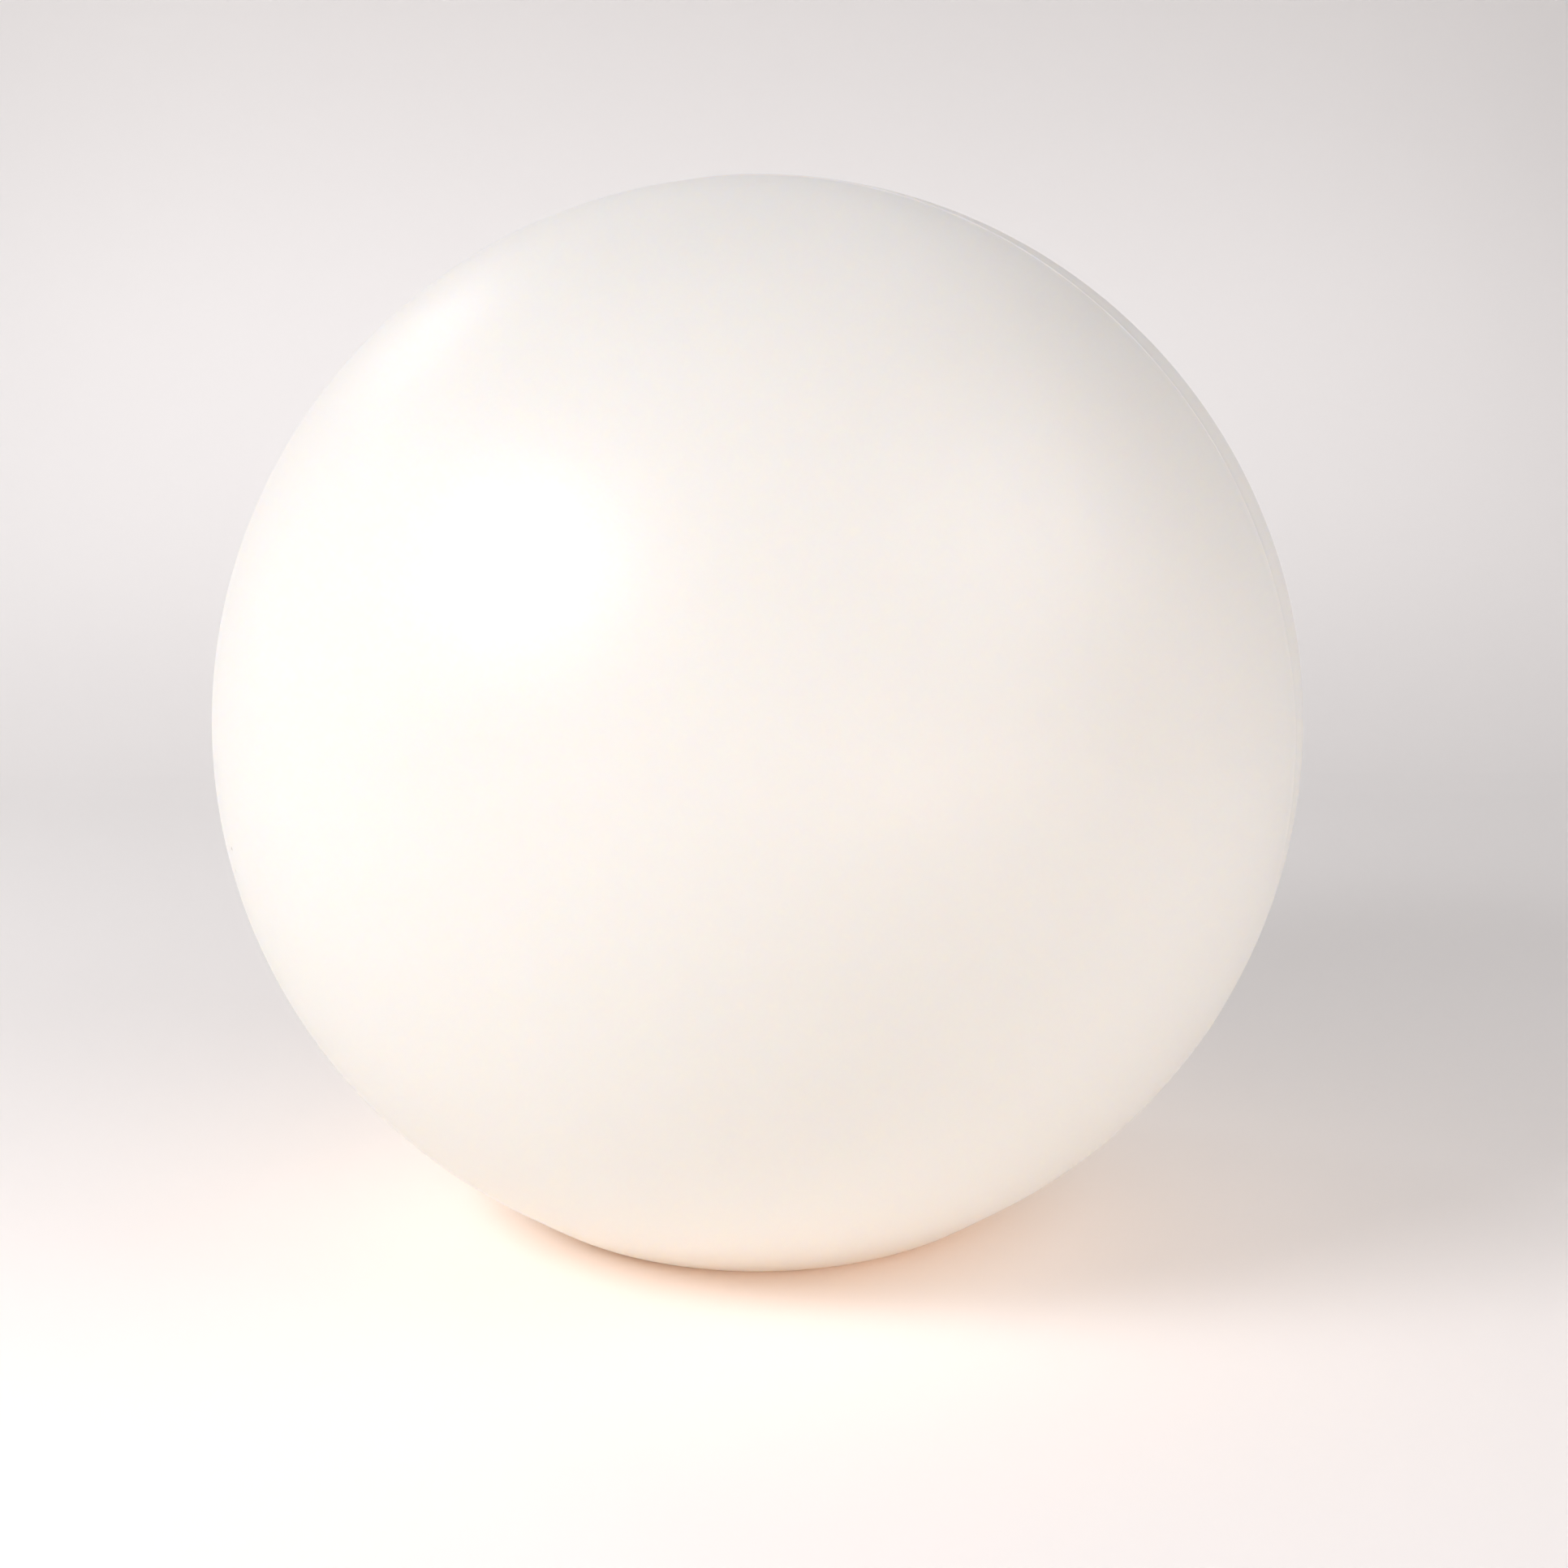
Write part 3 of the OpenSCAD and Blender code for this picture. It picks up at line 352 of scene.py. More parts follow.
def mould_globe():
    """The rotomoulded globe: skin, parting line, foot, recess, shelf, mouth and screw bosses in one wall."""
    put_down()
    bpy.ops.mesh.primitive_cube_add(size=2 * GLOBE_R / math.sqrt(3), rotation=(0, 0, -PARTING_TURN))
    globe = newest("globe")
    bpy.ops.object.transform_apply(location=False, rotation=True, scale=True)
    edit(globe)
    take_all()
    bpy.ops.mesh.subdivide(number_cuts=63)
    put_down()
    reshape(globe, "CAST", cast_type="SPHERE", factor=1.0, use_radius_as_size=False, size=GLOBE_R)
    globe.location = GLOBE_CENTRE
    settle(globe)

    # The parting line's own narrow strips, then what each of them stands proud
    edit(globe, "EDGE")
    choose_edges(globe, lambda co: abs(behind_parting(co)) < 0.01 * MM)
    bpy.ops.mesh.bevel(offset=0.5 * PARTING_WIDTH, segments=4, affect="EDGES")
    put_down()
    push(globe, "back_up", back_shift, BACK_UP, "Z")
    push(globe, "back_left", back_shift, -BACK_LEFT, "X")
    push(globe, "back_out", back_shift, BACK_OUT, "Y")
    push(globe, "flash", flash_share, FLASH_HEIGHT)
    push(globe, "foot", foot_share, FOOT_SWELL)

    # The flat that it stands on, the recess and the mouth
    edit(globe)
    take_all()
    bpy.ops.mesh.bisect(plane_co=(0, 0, 0), plane_no=(0, 0, 1), clear_inner=True, use_fill=True)
    bpy.ops.mesh.select_all(action="DESELECT")
    choose_faces(globe, lambda co, up: co.z < 0.01 * MM and up.z < -0.9)
    bpy.ops.mesh.inset(thickness=FOOT_R - RECESS_R)
    draw_out(0, 0, RECESS_H)
    taper = RECESS_TOP_R / RECESS_R
    bpy.ops.transform.resize(value=(taper, taper, 1), center_override=(0, 0, RECESS_H))
    bpy.ops.mesh.inset(thickness=RECESS_TOP_R - MOUTH_R)
    bpy.ops.mesh.delete(type="FACE")
    put_down()
    round_edges(globe, 1.0, angle=18)
    edit(globe)
    take_all()
    bpy.ops.mesh.remove_doubles(threshold=0.01 * MM)
    bpy.ops.mesh.normals_make_consistent(inside=False)

    put_down()
    reshape(globe, "SOLIDIFY", thickness=WALL, offset=-1, use_even_offset=False)

    # The nick and the scuff below it, on a finer patch of the outer skin
    nick, scuff = on_globe(NICK_PIXEL), on_globe(SCUFF_PIXEL)
    edit(globe)
    for reach in (14, 9, 5.5, 4):
        bpy.ops.mesh.select_all(action="DESELECT")
        choose_faces(globe, lambda co, up: up.dot(co - GLOBE_CENTRE) > 0
                     and min((co - nick).length, (co - scuff).length) < reach * MM)
        bpy.ops.mesh.subdivide(number_cuts=1)
    put_down()
    push(globe, "nick", oval_share(nick, 0.9, 1.6), -NICK_DEPTH)
    push(globe, "nick_lip", oval_share(nick + Vector((0, 0, 1.6 * MM)), 0.8, 0.8), NICK_LIP)
    push(globe, "scuff", oval_share(scuff, 0.6, 1.3), -SCUFF_DEPTH)
    add_bosses(globe)
    return smooth(globe, 40)


def add_bosses(globe):
    """The six bosses on the shelf and the blind holes in them that hold the thread inserts."""
    middle = (BOLT_R, 0)
    boss = turned("boss", middle, [
        (BOSS_R - 0.6, BOSS_TOP), (BOSS_R - 0.1, BOSS_TOP - 0.6), (BOSS_R + 0.1, 29.6), (BOSS_R + 0.8, 28.8),
        (BOSS_R + 0.8, 27.5)], 48)
    hole = turned("hole", middle, [
        (1.2, INSERT_HOLE_TOP), (INSERT_HOLE_R, INSERT_HOLE_TOP - 0.9), (INSERT_HOLE_R, 25)], 48)
    for tool, operation in ((boss, "UNION"), (hole, "DIFFERENCE")):
        ring = [tool] + [copy_of(tool, "%s_%d" % (tool.name, i), turn=60 * i) for i in range(1, SCREWS)]
        carve(globe, joined(ring, tool.name + "_ring"), operation)


def dish(r):
    """Height of a button's dished face at a distance from its middle."""
    return BUTTON_FACE + max(0.0, DISH_DEPTH - DISH_R + math.sqrt(DISH_R ** 2 - r ** 2))


def button_profile(marks=()):
    """Collar, side, rounded rim and dished face; marks are the rings cut into the face."""
    collar = BUTTON_R + 1.5
    edge = 0.8
    side = [(6.6, 25.9), (collar - 0.2, 25.9), (collar, 25.7), (collar, 24.7), (BUTTON_R, 24.7)]
    rim = [(BUTTON_R - edge + edge * math.cos(a), BUTTON_FACE + edge - edge * math.sin(a))
           for a in [math.radians(15 * i) for i in range(7)]]
    face = []
    cut = list(marks)
    r = 5.6
    while r > 0.4:
        if cut and r < cut[0][1] + 0.1:
            inner, outer = cut.pop(0)
            face += [(outer + 0.06, dish(outer)), (outer, dish(outer) + 0.06), (outer - 0.03, MARK_FLOOR),
                     (inner + 0.03, MARK_FLOOR), (inner, dish(inner) + 0.06), (inner - 0.06, dish(inner))]
            r = inner - 0.4
        else:
            face.append((r, dish(r)))
            r -= 0.45
    return side + rim + face


def make_buttons():
    """The power button with its ring mark and the mode button with its three dots."""
    power = turned("power_button_cap", (-BUTTON_X, BUTTON_Y), button_profile([(2.7, 3.7)]), 128)
    mode = turned("mode_button_cap", (BUTTON_X, BUTTON_Y), button_profile(), 128)
    dots = []
    for turn in (90, 210, 330):
        a = math.radians(turn)
        place = (BUTTON_X + DOTS_R * math.cos(a), BUTTON_Y + DOTS_R * math.sin(a))
        cutter = [(0.97, MARK_FLOOR), (1.0, BUTTON_FACE + 0.6), (1.1, BUTTON_FACE - 1)]
        dots.append(turned("dot", place, cutter, 48))
    carve(mode, joined(dots, "dots"))
    smooth(mode)
    return power, mode


def make_base_screw():
    """A pan-head screw that points up, with a rounded head and a cross recess."""
    screw = turned("base_screw_1", (BOLT_R, 0), [
        (1.1, 32.4), (1.5, 31.9), (1.5, 21.5), (1.6, BASE_Z), (2.65, BASE_Z), (2.8, 21.25), (2.8, 20.5),
        (2.77, 20.2), (2.68, 19.92), (2.5, 19.66), (2.22, 19.45), (1.85, 19.32), (1.4, 19.24),
        (0.3, 19.2)], 64)
    arms = []
    for turn in (0, 90):
        arm = block("arm", (BOLT_R - 1.75, -0.42, 19.0), (BOLT_R + 1.75, 0.42, 20.35))
        edit(arm)
        choose_faces(arm, lambda co, up: up.z > 0.5)
        bpy.ops.transform.resize(value=(0.45, 0.6, 1), center_override=(BOLT_R * MM, 0, 20.35 * MM))
        put_down()
        if turn:
            edit(arm)
            take_all()
            bpy.ops.transform.rotate(value=math.pi / 2, orient_axis="Z", center_override=(BOLT_R * MM, 0, 0))
            put_down()
        arms.append(arm)
    for arm in arms:
        carve(screw, arm)
    round_edges(screw, 0.06, 2, 50)
    return smooth(screw)


def make_base_screws():
    first = make_base_screw()
    return [first] + [copy_of(first, "base_screw_%d" % (i + 1), turn=60 * i) for i in range(1, SCREWS)]


def make_socket():
    """The charging socket's face and bore, and the hollow contact pin in it."""
    socket = turned("charging_socket", (0, SOCKET_Y), [
        (5.0, 34.9), (5.5, 34.4), (5.5, BASE_Z), (6.85, BASE_Z), (7.0, 21.2), (7.0, 20.4), (6.88, 20.1),
        (6.6, 19.94), (6.3, SOCKET_FACE), (4.25, SOCKET_FACE), (4.15, 20.0), (4.0, 20.08), (3.6, 20.2),
        (3.32, 20.45), (3.2, 20.8), (3.2, 30.9), (0.4, 30.9)], 96)
    pin = turned("socket_pin", (0, SOCKET_Y), [
        (1.05, 31.0), (1.05, 23.5), (1.0, 23.3), (0.86, 23.12), (0.7, 23.1), (0.6, 23.2), (0.55, 23.6),
        (0.55, 25.5), (0.1, 25.5)], 48)
    return socket, pin


def make_cap():
    """The charging cap: rounded disc, ribbed spigot and pull tab."""
    cap = turned("charging_cap", (0, SOCKET_Y), [
        (1.4, 22.5), (1.8, 22.4), (2.05, 22.1), (2.3, 21.7), (2.3, 21.5), (2.0, 21.3), (2.0, 21.1),
        (2.55, 20.8), (2.55, 20.6), (2.2, 20.4), (2.2, 20.1), (2.6, 19.9), (2.9, 19.6), (6.3, 19.6),
        (6.7, 19.5), (6.92, 19.25), (7.0, 18.9), (7.0, 18.1), (6.92, 17.75), (6.7, 17.5), (6.3, CAP_Z),
        (5.5, CAP_Z), (5.35, 17.46), (5.2, 17.62), (5.0, 17.68), (4.8, 17.62), (4.65, 17.46),
        (4.5, CAP_Z), (0.5, CAP_Z)], 96)
    tab = block("tab", (-2.5, SOCKET_Y - 8.5, CAP_Z), (2.5, SOCKET_Y - 5.5, CAP_Z + 1.2))
    round_edges(tab, 0.45)
    carve(cap, tab, "UNION")
    return smooth(cap)


def make_strap():
    """The silicone strap from the cap to its anchor, thinner along the line where it bends."""
    strap = block("cap_strap", (-2.5, STRAP_START_Y, STRAP_Z - 0.6), (2.5, ANCHOR_Y, STRAP_Z + 0.6))
    round_edges(strap, 0.35)
    rows = 40
    start, end = STRAP_START_Y * MM, ANCHOR_Y * MM
    edit(strap)
    for i in range(1, rows):
        take_all()
        bpy.ops.mesh.bisect(plane_co=(0, start + (end - start) * i / rows, 0), plane_no=(0, 1, 0))
    put_down()
    bend = HINGE_Y * MM

    def thin(below):
        def share(co):
            near = 1 - ease(abs(co.y - bend), 0.3 * MM, 1.3 * MM)
            return near if (co.z < STRAP_Z * MM) == below else 0
        return share
    push(strap, "thin_below", thin(True), 0.25 * MM, "Z")
    push(strap, "thin_above", thin(False), -0.25 * MM, "Z")
    return smooth(strap)


def make_anchor():
    """The strap's fixed head, its stem and the barb that is pulled through the floor."""
    return turned("cap_anchor_head", (0, ANCHOR_Y), [
        (1.0, 26.8), (2.2, 24.6), (2.2, BASE_TOP), (1.5, BASE_TOP), (1.5, BASE_Z), (2.8, BASE_Z),
        (3.0, 21.2), (3.0, 18.6), (2.93, 18.25), (2.7, 18.0), (2.35, 17.9), (0.4, 17.9)], 64)


class Sheet:
    """A sheet of shader nodes: a material's own, or that of an effect that several materials share."""

    def __init__(self, tree):
        self.nodes = tree.nodes
        self.links = tree.links

    def put(self, value, socket):
        """A number, a colour or another node's output goes into a socket."""
        if isinstance(value, bpy.types.NodeSocket):
            self.links.new(value, socket)
        else:
            socket.default_value = value

    def add(self, kind, **values):
        """A node with its settings and inputs; an underscore in an input's name stands for a space."""
        node = self.nodes.new(kind)
        for name, value in values.items():
            if hasattr(node, name):
                setattr(node, name, value)
        for name, value in values.items():
            if not hasattr(node, name):
                self.put(value, node.inputs[name.replace("_", " ")])
        return node

    def work_out(self, operation, first, second=0.0):
        node = self.add("ShaderNodeMath", operation=operation)
        for value, socket in zip((first, second), node.inputs):
            self.put(value, socket)
        return node.outputs[0]

    def minus(self, first, second):
        return self.work_out("SUBTRACT", first, second)

    def times(self, first, second):
        return self.work_out("MULTIPLY", first, second)

    def size_of(self, value):
        return self.work_out("ABSOLUTE", value)

    def rest_of(self, share):
        """1 where share is 0 and 0 where it is 1."""
        return self.minus(1.0, share)

    def length_of(self, across, along):
        squares = [self.times(v, v) for v in (across, along)]
        return self.work_out("SQRT", self.work_out("ADD", *squares))

    def nearest_step(self, value, step):
        """The multiple of step that is nearest to a value."""
        return self.times(self.work_out("ROUND", self.work_out("DIVIDE", value, step)), step)

    def split(self, place):
        return self.add("ShaderNodeSeparateXYZ", Vector=place).outputs

    def between(self, share, low, high, start=0.0, end=1.0):
        """A value that runs from start to end, mapped to low and high and held there."""
        ramp = self.add("ShaderNodeMapRange", From_Min=start, From_Max=end, To_Min=low, To_Max=high)
        self.put(share, ramp.inputs["Value"])
        return ramp.outputs["Result"]

    def rise(self, value, low, high):
        """0 below low, 1 above high."""
        return self.between(value, 0.0, 1.0, low, high)

    def fall(self, value, low, high):
        """1 below low, 0 above high."""
        return self.between(value, 1.0, 0.0, low, high)

    def lumps(self, place, size, detail=2.0):
        """Soft noise whose lumps are size wide."""
        scale = self.work_out("DIVIDE", 1.0, size)
        return self.add("ShaderNodeTexNoise", Vector=place, Scale=scale, Detail=detail).outputs["Fac"]

    def scaled(self, place, scale):
        """The place with each axis multiplied by its scale."""
        node = self.add("ShaderNodeVectorMath", operation="MULTIPLY")
        self.put(place, node.inputs[0])
        self.put(scale, node.inputs[1])
        return node.outputs[0]

    def mix(self, share, first, second):
        """first where share is 0 and second where it is 1."""
        mix = self.add("ShaderNodeMix", data_type="RGBA")
        self.put(share, mix.inputs[0])
        for colour, socket in ((first, mix.inputs[6]), (second, mix.inputs[7])):
            self.put((*colour, 1) if isinstance(colour, tuple) else colour, socket)
        return mix.outputs[2]

    def blend(self, share, first, second):
        """The same for two values."""
        mix = self.add("ShaderNodeMix", data_type="FLOAT")
        for value, socket in ((share, mix.inputs[0]), (first, mix.inputs[2]), (second, mix.inputs[3])):
            self.put(value, socket)
        return mix.outputs[0]

    def use(self, effect, **values):
        """A shared effect's outputs, with its inputs set."""
        node = self.add("ShaderNodeGroup", node_tree=effect)
        for name, value in values.items():
            self.put(value, node.inputs[name])
        return node.outputs


def start_effect(name, takes, gives):
    """A node group that several materials share, with its sheet, inputs and outputs."""
    tree = bpy.data.node_groups.new(name, "ShaderNodeTree")
    for label, kind in takes.items():
        tree.interface.new_socket(label, in_out="INPUT", socket_type="NodeSocket" + kind)
    for label, kind in gives.items():
        tree.interface.new_socket(label, in_out="OUTPUT", socket_type="NodeSocket" + kind)
    sheet = Sheet(tree)
    return tree, sheet, sheet.add("NodeGroupInput").outputs, sheet.add("NodeGroupOutput").inputs


def make_moulded_grain():
    """The fine grain of a mould's wall, and slow clouds in the plastic's tone."""
    tree, s, takes, gives = start_effect(
        "moulded_grain", {"Place": "Vector", "Size": "Float"}, {"Height": "Float", "Cloud": "Float"})
    fine = s.lumps(takes["Place"], takes["Size"], 2)
    coarse = s.lumps(takes["Place"], s.times(takes["Size"], 3.1), 1)
    s.put(s.blend(0.35, fine, coarse), gives["Height"])
    s.put(s.lumps(takes["Place"], s.times(takes["Size"], 45), 3), gives["Cloud"])
    return tree


def make_softened_edge():
    """The narrow rounding that every real edge has, and a mask of where it is."""
    tree, s, takes, gives = start_effect(
        "softened_edge", {"Radius": "Float"}, {"Normal": "Vector", "Edge": "Float"})
    rounded = s.add("ShaderNodeBevel", samples=4, Radius=takes["Radius"]).outputs["Normal"]
    dot = s.add("ShaderNodeVectorMath", operation="DOT_PRODUCT")
    s.put(rounded, dot.inputs[0])
    s.put(s.add("ShaderNodeNewGeometry").outputs["Normal"], dot.inputs[1])
    s.put(rounded, gives["Normal"])
    s.put(s.fall(dot.outputs["Value"], 0.86, 0.995), gives["Edge"])
    return tree


def make_fine_scratches():
    """Hairlines in two directions, as on anything that has been handled."""
    tree, s, takes, gives = start_effect(
        "fine_scratches", {"Place": "Vector", "Size": "Float"}, {"Height": "Float", "Streak": "Float"})
    lines = []
    for stretch in ((1.0, 0.045, 0.3), (0.06, 1.0, 0.4)):
        drawn = s.lumps(s.scaled(takes["Place"], stretch), takes["Size"], 2)
        off = s.size_of(s.minus(drawn, 0.5))
        lines.append(s.fall(off, 0.0, 0.014))
    streak = s.work_out("MAXIMUM", *lines)
    worn = s.times(streak, s.rise(s.lumps(takes["Place"], 7.0, 2), 0.42, 0.6))
    s.put(s.rest_of(worn), gives["Height"])
    s.put(worn, gives["Streak"])
    return tree


def make_silicone_bloom():
    """The pale dry bloom that comes up on silicone in patches."""
    tree, s, takes, gives = start_effect("silicone_bloom", {"Place": "Vector"}, {"Bloom": "Float"})
    patches = s.rise(s.lumps(takes["Place"], 9.0, 4), 0.38, 0.68)
    specks = s.between(s.lumps(takes["Place"], 0.25, 1), 0.3, 1.0, 0.35, 0.7)
    s.put(s.times(patches, specks), gives["Bloom"])
    return tree


def make_around_ring():
    """Where a place is from the nearest of some middles, evenly spaced on a ring about the lamp's axis."""
    tree, s, takes, gives = start_effect(
        "around_ring", {"Place": "Vector", "Radius": "Float", "Count": "Float", "Start": "Float"},
        {"Away": "Float", "Turn": "Float"})
    x, y, _ = s.split(takes["Place"])
    angle = s.minus(s.work_out("ARCTAN2", y, x), s.work_out("RADIANS", takes["Start"]))
    share = s.work_out("DIVIDE", math.tau, takes["Count"])
    off = s.minus(angle, s.nearest_step(angle, share))
    r = s.length_of(x, y)
    out = s.minus(s.times(r, s.work_out("COSINE", off)), takes["Radius"])
    across = s.times(r, s.work_out("SINE", off))
    s.put(s.length_of(out, across), gives["Away"])
    s.put(s.work_out("ARCTAN2", across, out), gives["Turn"])
    return tree


class Finish(Sheet):
    """A material that is put together node by node; its place is in millimetres in the lamp's frame."""

    def __init__(self, name, **settings):
        self.material = bpy.data.materials.new(name)
        self.material.use_nodes = True
        super().__init__(self.material.node_tree)
        self.shader = self.nodes["Principled BSDF"]
        metres = self.add("ShaderNodeTexCoord").outputs["Object"]
        self.place = self.scaled(metres, (1 / MM, 1 / MM, 1 / MM))
        self.x, self.y, self.z = self.split(self.place)
        self.normal = None
        for label, value in settings.items():
            self.feed(value, label.replace("_", " "))

    def feed(self, value, label):
        if isinstance(value, tuple) and len(value) == 3 and self.shader.inputs[label].type == "RGBA":
            value = (*value, 1)
        self.put(value, self.shader.inputs[label])

    def speckle(self, size, detail=2.0):
        return self.lumps(self.place, size, detail)

    def raise_by(self, height, depth):
        """Relief from a height between 0 and 1, depth in millimetres, on top of any relief before it."""
        bump = self.add("ShaderNodeBump", Strength=1.0, Distance=depth * MM)
        self.put(height, bump.inputs["Height"])
        if self.normal:
            self.put(self.normal, bump.inputs["Normal"])
        self.normal = bump.outputs["Normal"]
        self.feed(self.normal, "Normal")

    def soften_edges(self, radius):
        """Rounds the edges by radius, in millimetres, and gives the mask of them."""
        edge = self.use(softened_edge, Radius=radius * MM)
        self.normal = edge["Normal"]
        self.feed(self.normal, "Normal")
        return edge["Edge"]

    def near(self, middle, radius, fade=0.1):
        """1 within radius of an upright axis, in millimetres, and 0 outside it."""
        across = self.minus(self.x, middle[0])
        along = self.minus(self.y, middle[1])
        return self.within(across, along, radius, fade)

    def within(self, across, along, radius, fade=0.1):
        """The same for an axis that lies along another way, from the offsets to it."""
        return self.fall(self.length_of(across, along), radius - fade / 2, radius + fade / 2)

    def beyond(self, value, edge, fade=0.1):
        """1 where a value is above edge and 0 below it."""
        return self.rise(value, edge - fade / 2, edge + fade / 2)

    def below(self, value, edge, fade=0.1):
        """1 where a value is below edge and 0 above it."""
        return self.beyond(self.times(value, -1.0), -edge, fade)

    def around(self, radius, count, start=0.0):
        return self.use(around_ring, Place=self.place, Radius=radius, Count=count, Start=start)

    def tint(self, colour):
        self.feed(colour, "Base Color")

    def matt(self, roughness):
        self.feed(roughness, "Roughness")

    def side_faces(self):
        """1 on upright faces, such as the cut edge of a board."""
        facing = self.split(self.add("ShaderNodeNewGeometry").outputs["Normal"])[2]
        return self.fall(self.size_of(facing), 0.3, 0.7)

    def all_of(self, first, *others):
        for other in others:
            first = self.times(first, other)
        return first

    def any_of(self, first, *others):
        for other in others:
            first = self.work_out("MAXIMUM", first, other)
        return first


def moulded(name, colour, rough, grain_size=0.35, grain_depth=0.012, edge=0.25):
    """A moulded plastic with its mould's grain, a clouded tone and lighter edges: partly wear from handling,
    partly a painted highlight.
    """
    f = Finish(name, IOR=1.5)
    grain = f.use(moulded_grain, Place=f.place, Size=grain_size)
    worn = f.soften_edges(edge)
    darker = tuple(c * 0.93 for c in colour)
    # Edges are painted lighter: partly handling wear, partly a painted highlight on the rims.
    edge_wear_and_highlight_tone = tuple(min(1.0, c * 1.12 + 0.012) for c in colour)
    f.tone = f.mix(worn, f.mix(grain["Cloud"], darker, colour), edge_wear_and_highlight_tone)
    f.tint(f.tone)
    f.rough = f.blend(worn, f.between(grain["Cloud"], rough - 0.05, rough + 0.06, 0.3, 0.7), rough - 0.14)
    f.matt(f.rough)
    f.raise_by(grain["Height"], grain_depth)
    return f


def metal(name, colour, rough, scratch_size=0.6):
    """A bare metal with hairlines, a clouded sheen and edges painted brighter: partly wear, partly a painted
    highlight.
    """
    f = Finish(name, Metallic=1.0)
    cloud = f.speckle(5, 3)
    worn = f.soften_edges(0.15)
    scratch = f.use(fine_scratches, Place=f.place, Size=scratch_size)
    dull = tuple(c * 0.82 for c in colour)
    # Edges are painted brighter: partly wear, partly a painted highlight.
    bright = tuple(min(1.0, c * 1.15) for c in colour)
    f.tone = f.mix(worn, f.mix(cloud, dull, colour), bright)
    f.tint(f.tone)
    f.rough = f.blend(scratch["Streak"], f.between(cloud, rough - 0.06, rough + 0.08, 0.3, 0.7), rough + 0.2)
    f.matt(f.rough)
    f.raise_by(scratch["Height"], 0.004)
    return f


def silicone(name, colour):
    """A soft matt silicone with pale bloom, and edges painted paler: partly wear, partly a painted
    highlight.
    """
    f = Finish(name, IOR=1.41)
    worn = f.soften_edges(0.25)
    bloom = f.use(silicone_bloom, Place=f.place)["Bloom"]
    pale = tuple(c * 0.7 + 0.09 for c in colour)
    # Edges are painted paler: partly wear, partly a painted highlight; the bloom is the silicone's own.
    f.tone = f.mix(f.times(bloom, 0.55), f.mix(worn, colour, pale), pale)
    f.tint(f.tone)
    f.matt(f.between(bloom, 0.48, 0.72))
    f.raise_by(f.speckle(0.3, 3), 0.01)
    return f


def polyethylene():
    """Off-white translucent polyethylene: orange-peel skin, slow clouds, a nick, its scuff and scratch."""
    f = Finish("globe_polyethylene", Subsurface_Weight=1.0, Subsurface_Scale=WALL_SCATTER, IOR=1.5,
               Subsurface_Radius=(1.0, 0.85, 0.6))
    cloud = f.speckle(90, 3)
    colour = f.mix(cloud, (0.985, 0.868, 0.768), (0.980, 0.861, 0.757))
    nick, scuff = [v / MM for v in (on_globe(NICK_PIXEL), on_globe(SCUFF_PIXEL))]
    top = on_globe(SCRATCH_TOP_PIXEL) / MM

    def spot(middle, reach, fade):
        off = f.add("ShaderNodeVectorMath", operation="DISTANCE")
        f.put(f.place, off.inputs[0])
        f.put(tuple(middle), off.inputs[1])
        return f.fall(off.outputs["Value"], reach - fade, reach + fade)
    bruised = f.any_of(spot(nick, 0.8, 0.3), f.times(spot(scuff, 0.6, 0.4), 0.5))
    along = f.rise(f.z, nick.z, top.z)
    line_y = f.between(f.z, nick.y, top.y, nick.z, top.z)
    beside = f.size_of(f.minus(f.y, line_y))
    scratch = f.all_of(f.fall(beside, 0.1, 0.35), f.beyond(f.z, nick.z, 0.5),
                       f.below(f.z, top.z, 2.0), f.below(f.x, -170))
    scratch = f.times(scratch, f.between(along, 0.9, 0.3))
    colour = f.mix(f.times(bruised, 0.8), colour, (0.3, 0.24, 0.18))
    f.tint(colour)
    skin = f.between(f.speckle(4), 0.36, 0.44, 0.3, 0.7)
    f.matt(f.blend(f.any_of(bruised, scratch), skin, 0.62))
    f.raise_by(f.speckle(PEEL_SIZE, 1.5), PEEL_DEPTH)
    f.raise_by(f.rest_of(scratch), 0.06)
    return f


def insert_brass():
    """Turned brass with a diamond knurl on the outside of each insert, and painted shade darkening the
    knurl's grooves.
    """
    f = metal("insert_brass", (0.76, 0.57, 0.28), 0.3)
    ring = f.around(BOLT_R, SCREWS)
    turns = f.times(ring["Turn"], 24.0)
    rise = f.times(f.z, 5.2)
    left = f.size_of(f.work_out("SINE", f.work_out("ADD", turns, rise)))
    right = f.size_of(f.work_out("SINE", f.minus(turns, rise)))
    knurl = f.all_of(f.work_out("MINIMUM", left, right), f.beyond(ring["Away"], 2.5))
    f.raise_by(knurl, 0.12)
    # Painted shade: the knurl's grooves are coloured darker brass.
    f.tint(f.mix(f.between(knurl, 0.6, 0.0, 0.0, 0.4), f.tone, (0.36, 0.24, 0.1)))
    return f


def housing_plastic():
    """Grey-white moulding, rubbed smooth under the screw heads and round the buttons."""
    f = moulded("housing_plastic", (0.84, 0.835, 0.81), 0.52, 0.4, 0.02, 0.35)
    ring = f.around(BOLT_R, SCREWS)
    rubbed = f.any_of(f.fall(ring["Away"], 2.9, 3.7), f.near((-BUTTON_X, BUTTON_Y), 8.2, 1.2),
                      f.near((BUTTON_X, BUTTON_Y), 8.2, 1.2))
    rubbed = f.all_of(rubbed, f.below(f.z, BASE_Z + 0.3))
    f.matt(f.blend(rubbed, f.rough, 0.34))
    grime = f.all_of(rubbed, f.between(f.speckle(1.2, 3), 0.0, 0.35, 0.4, 0.7))
    f.tint(f.mix(grime, f.tone, (0.42, 0.4, 0.36)))
    return f


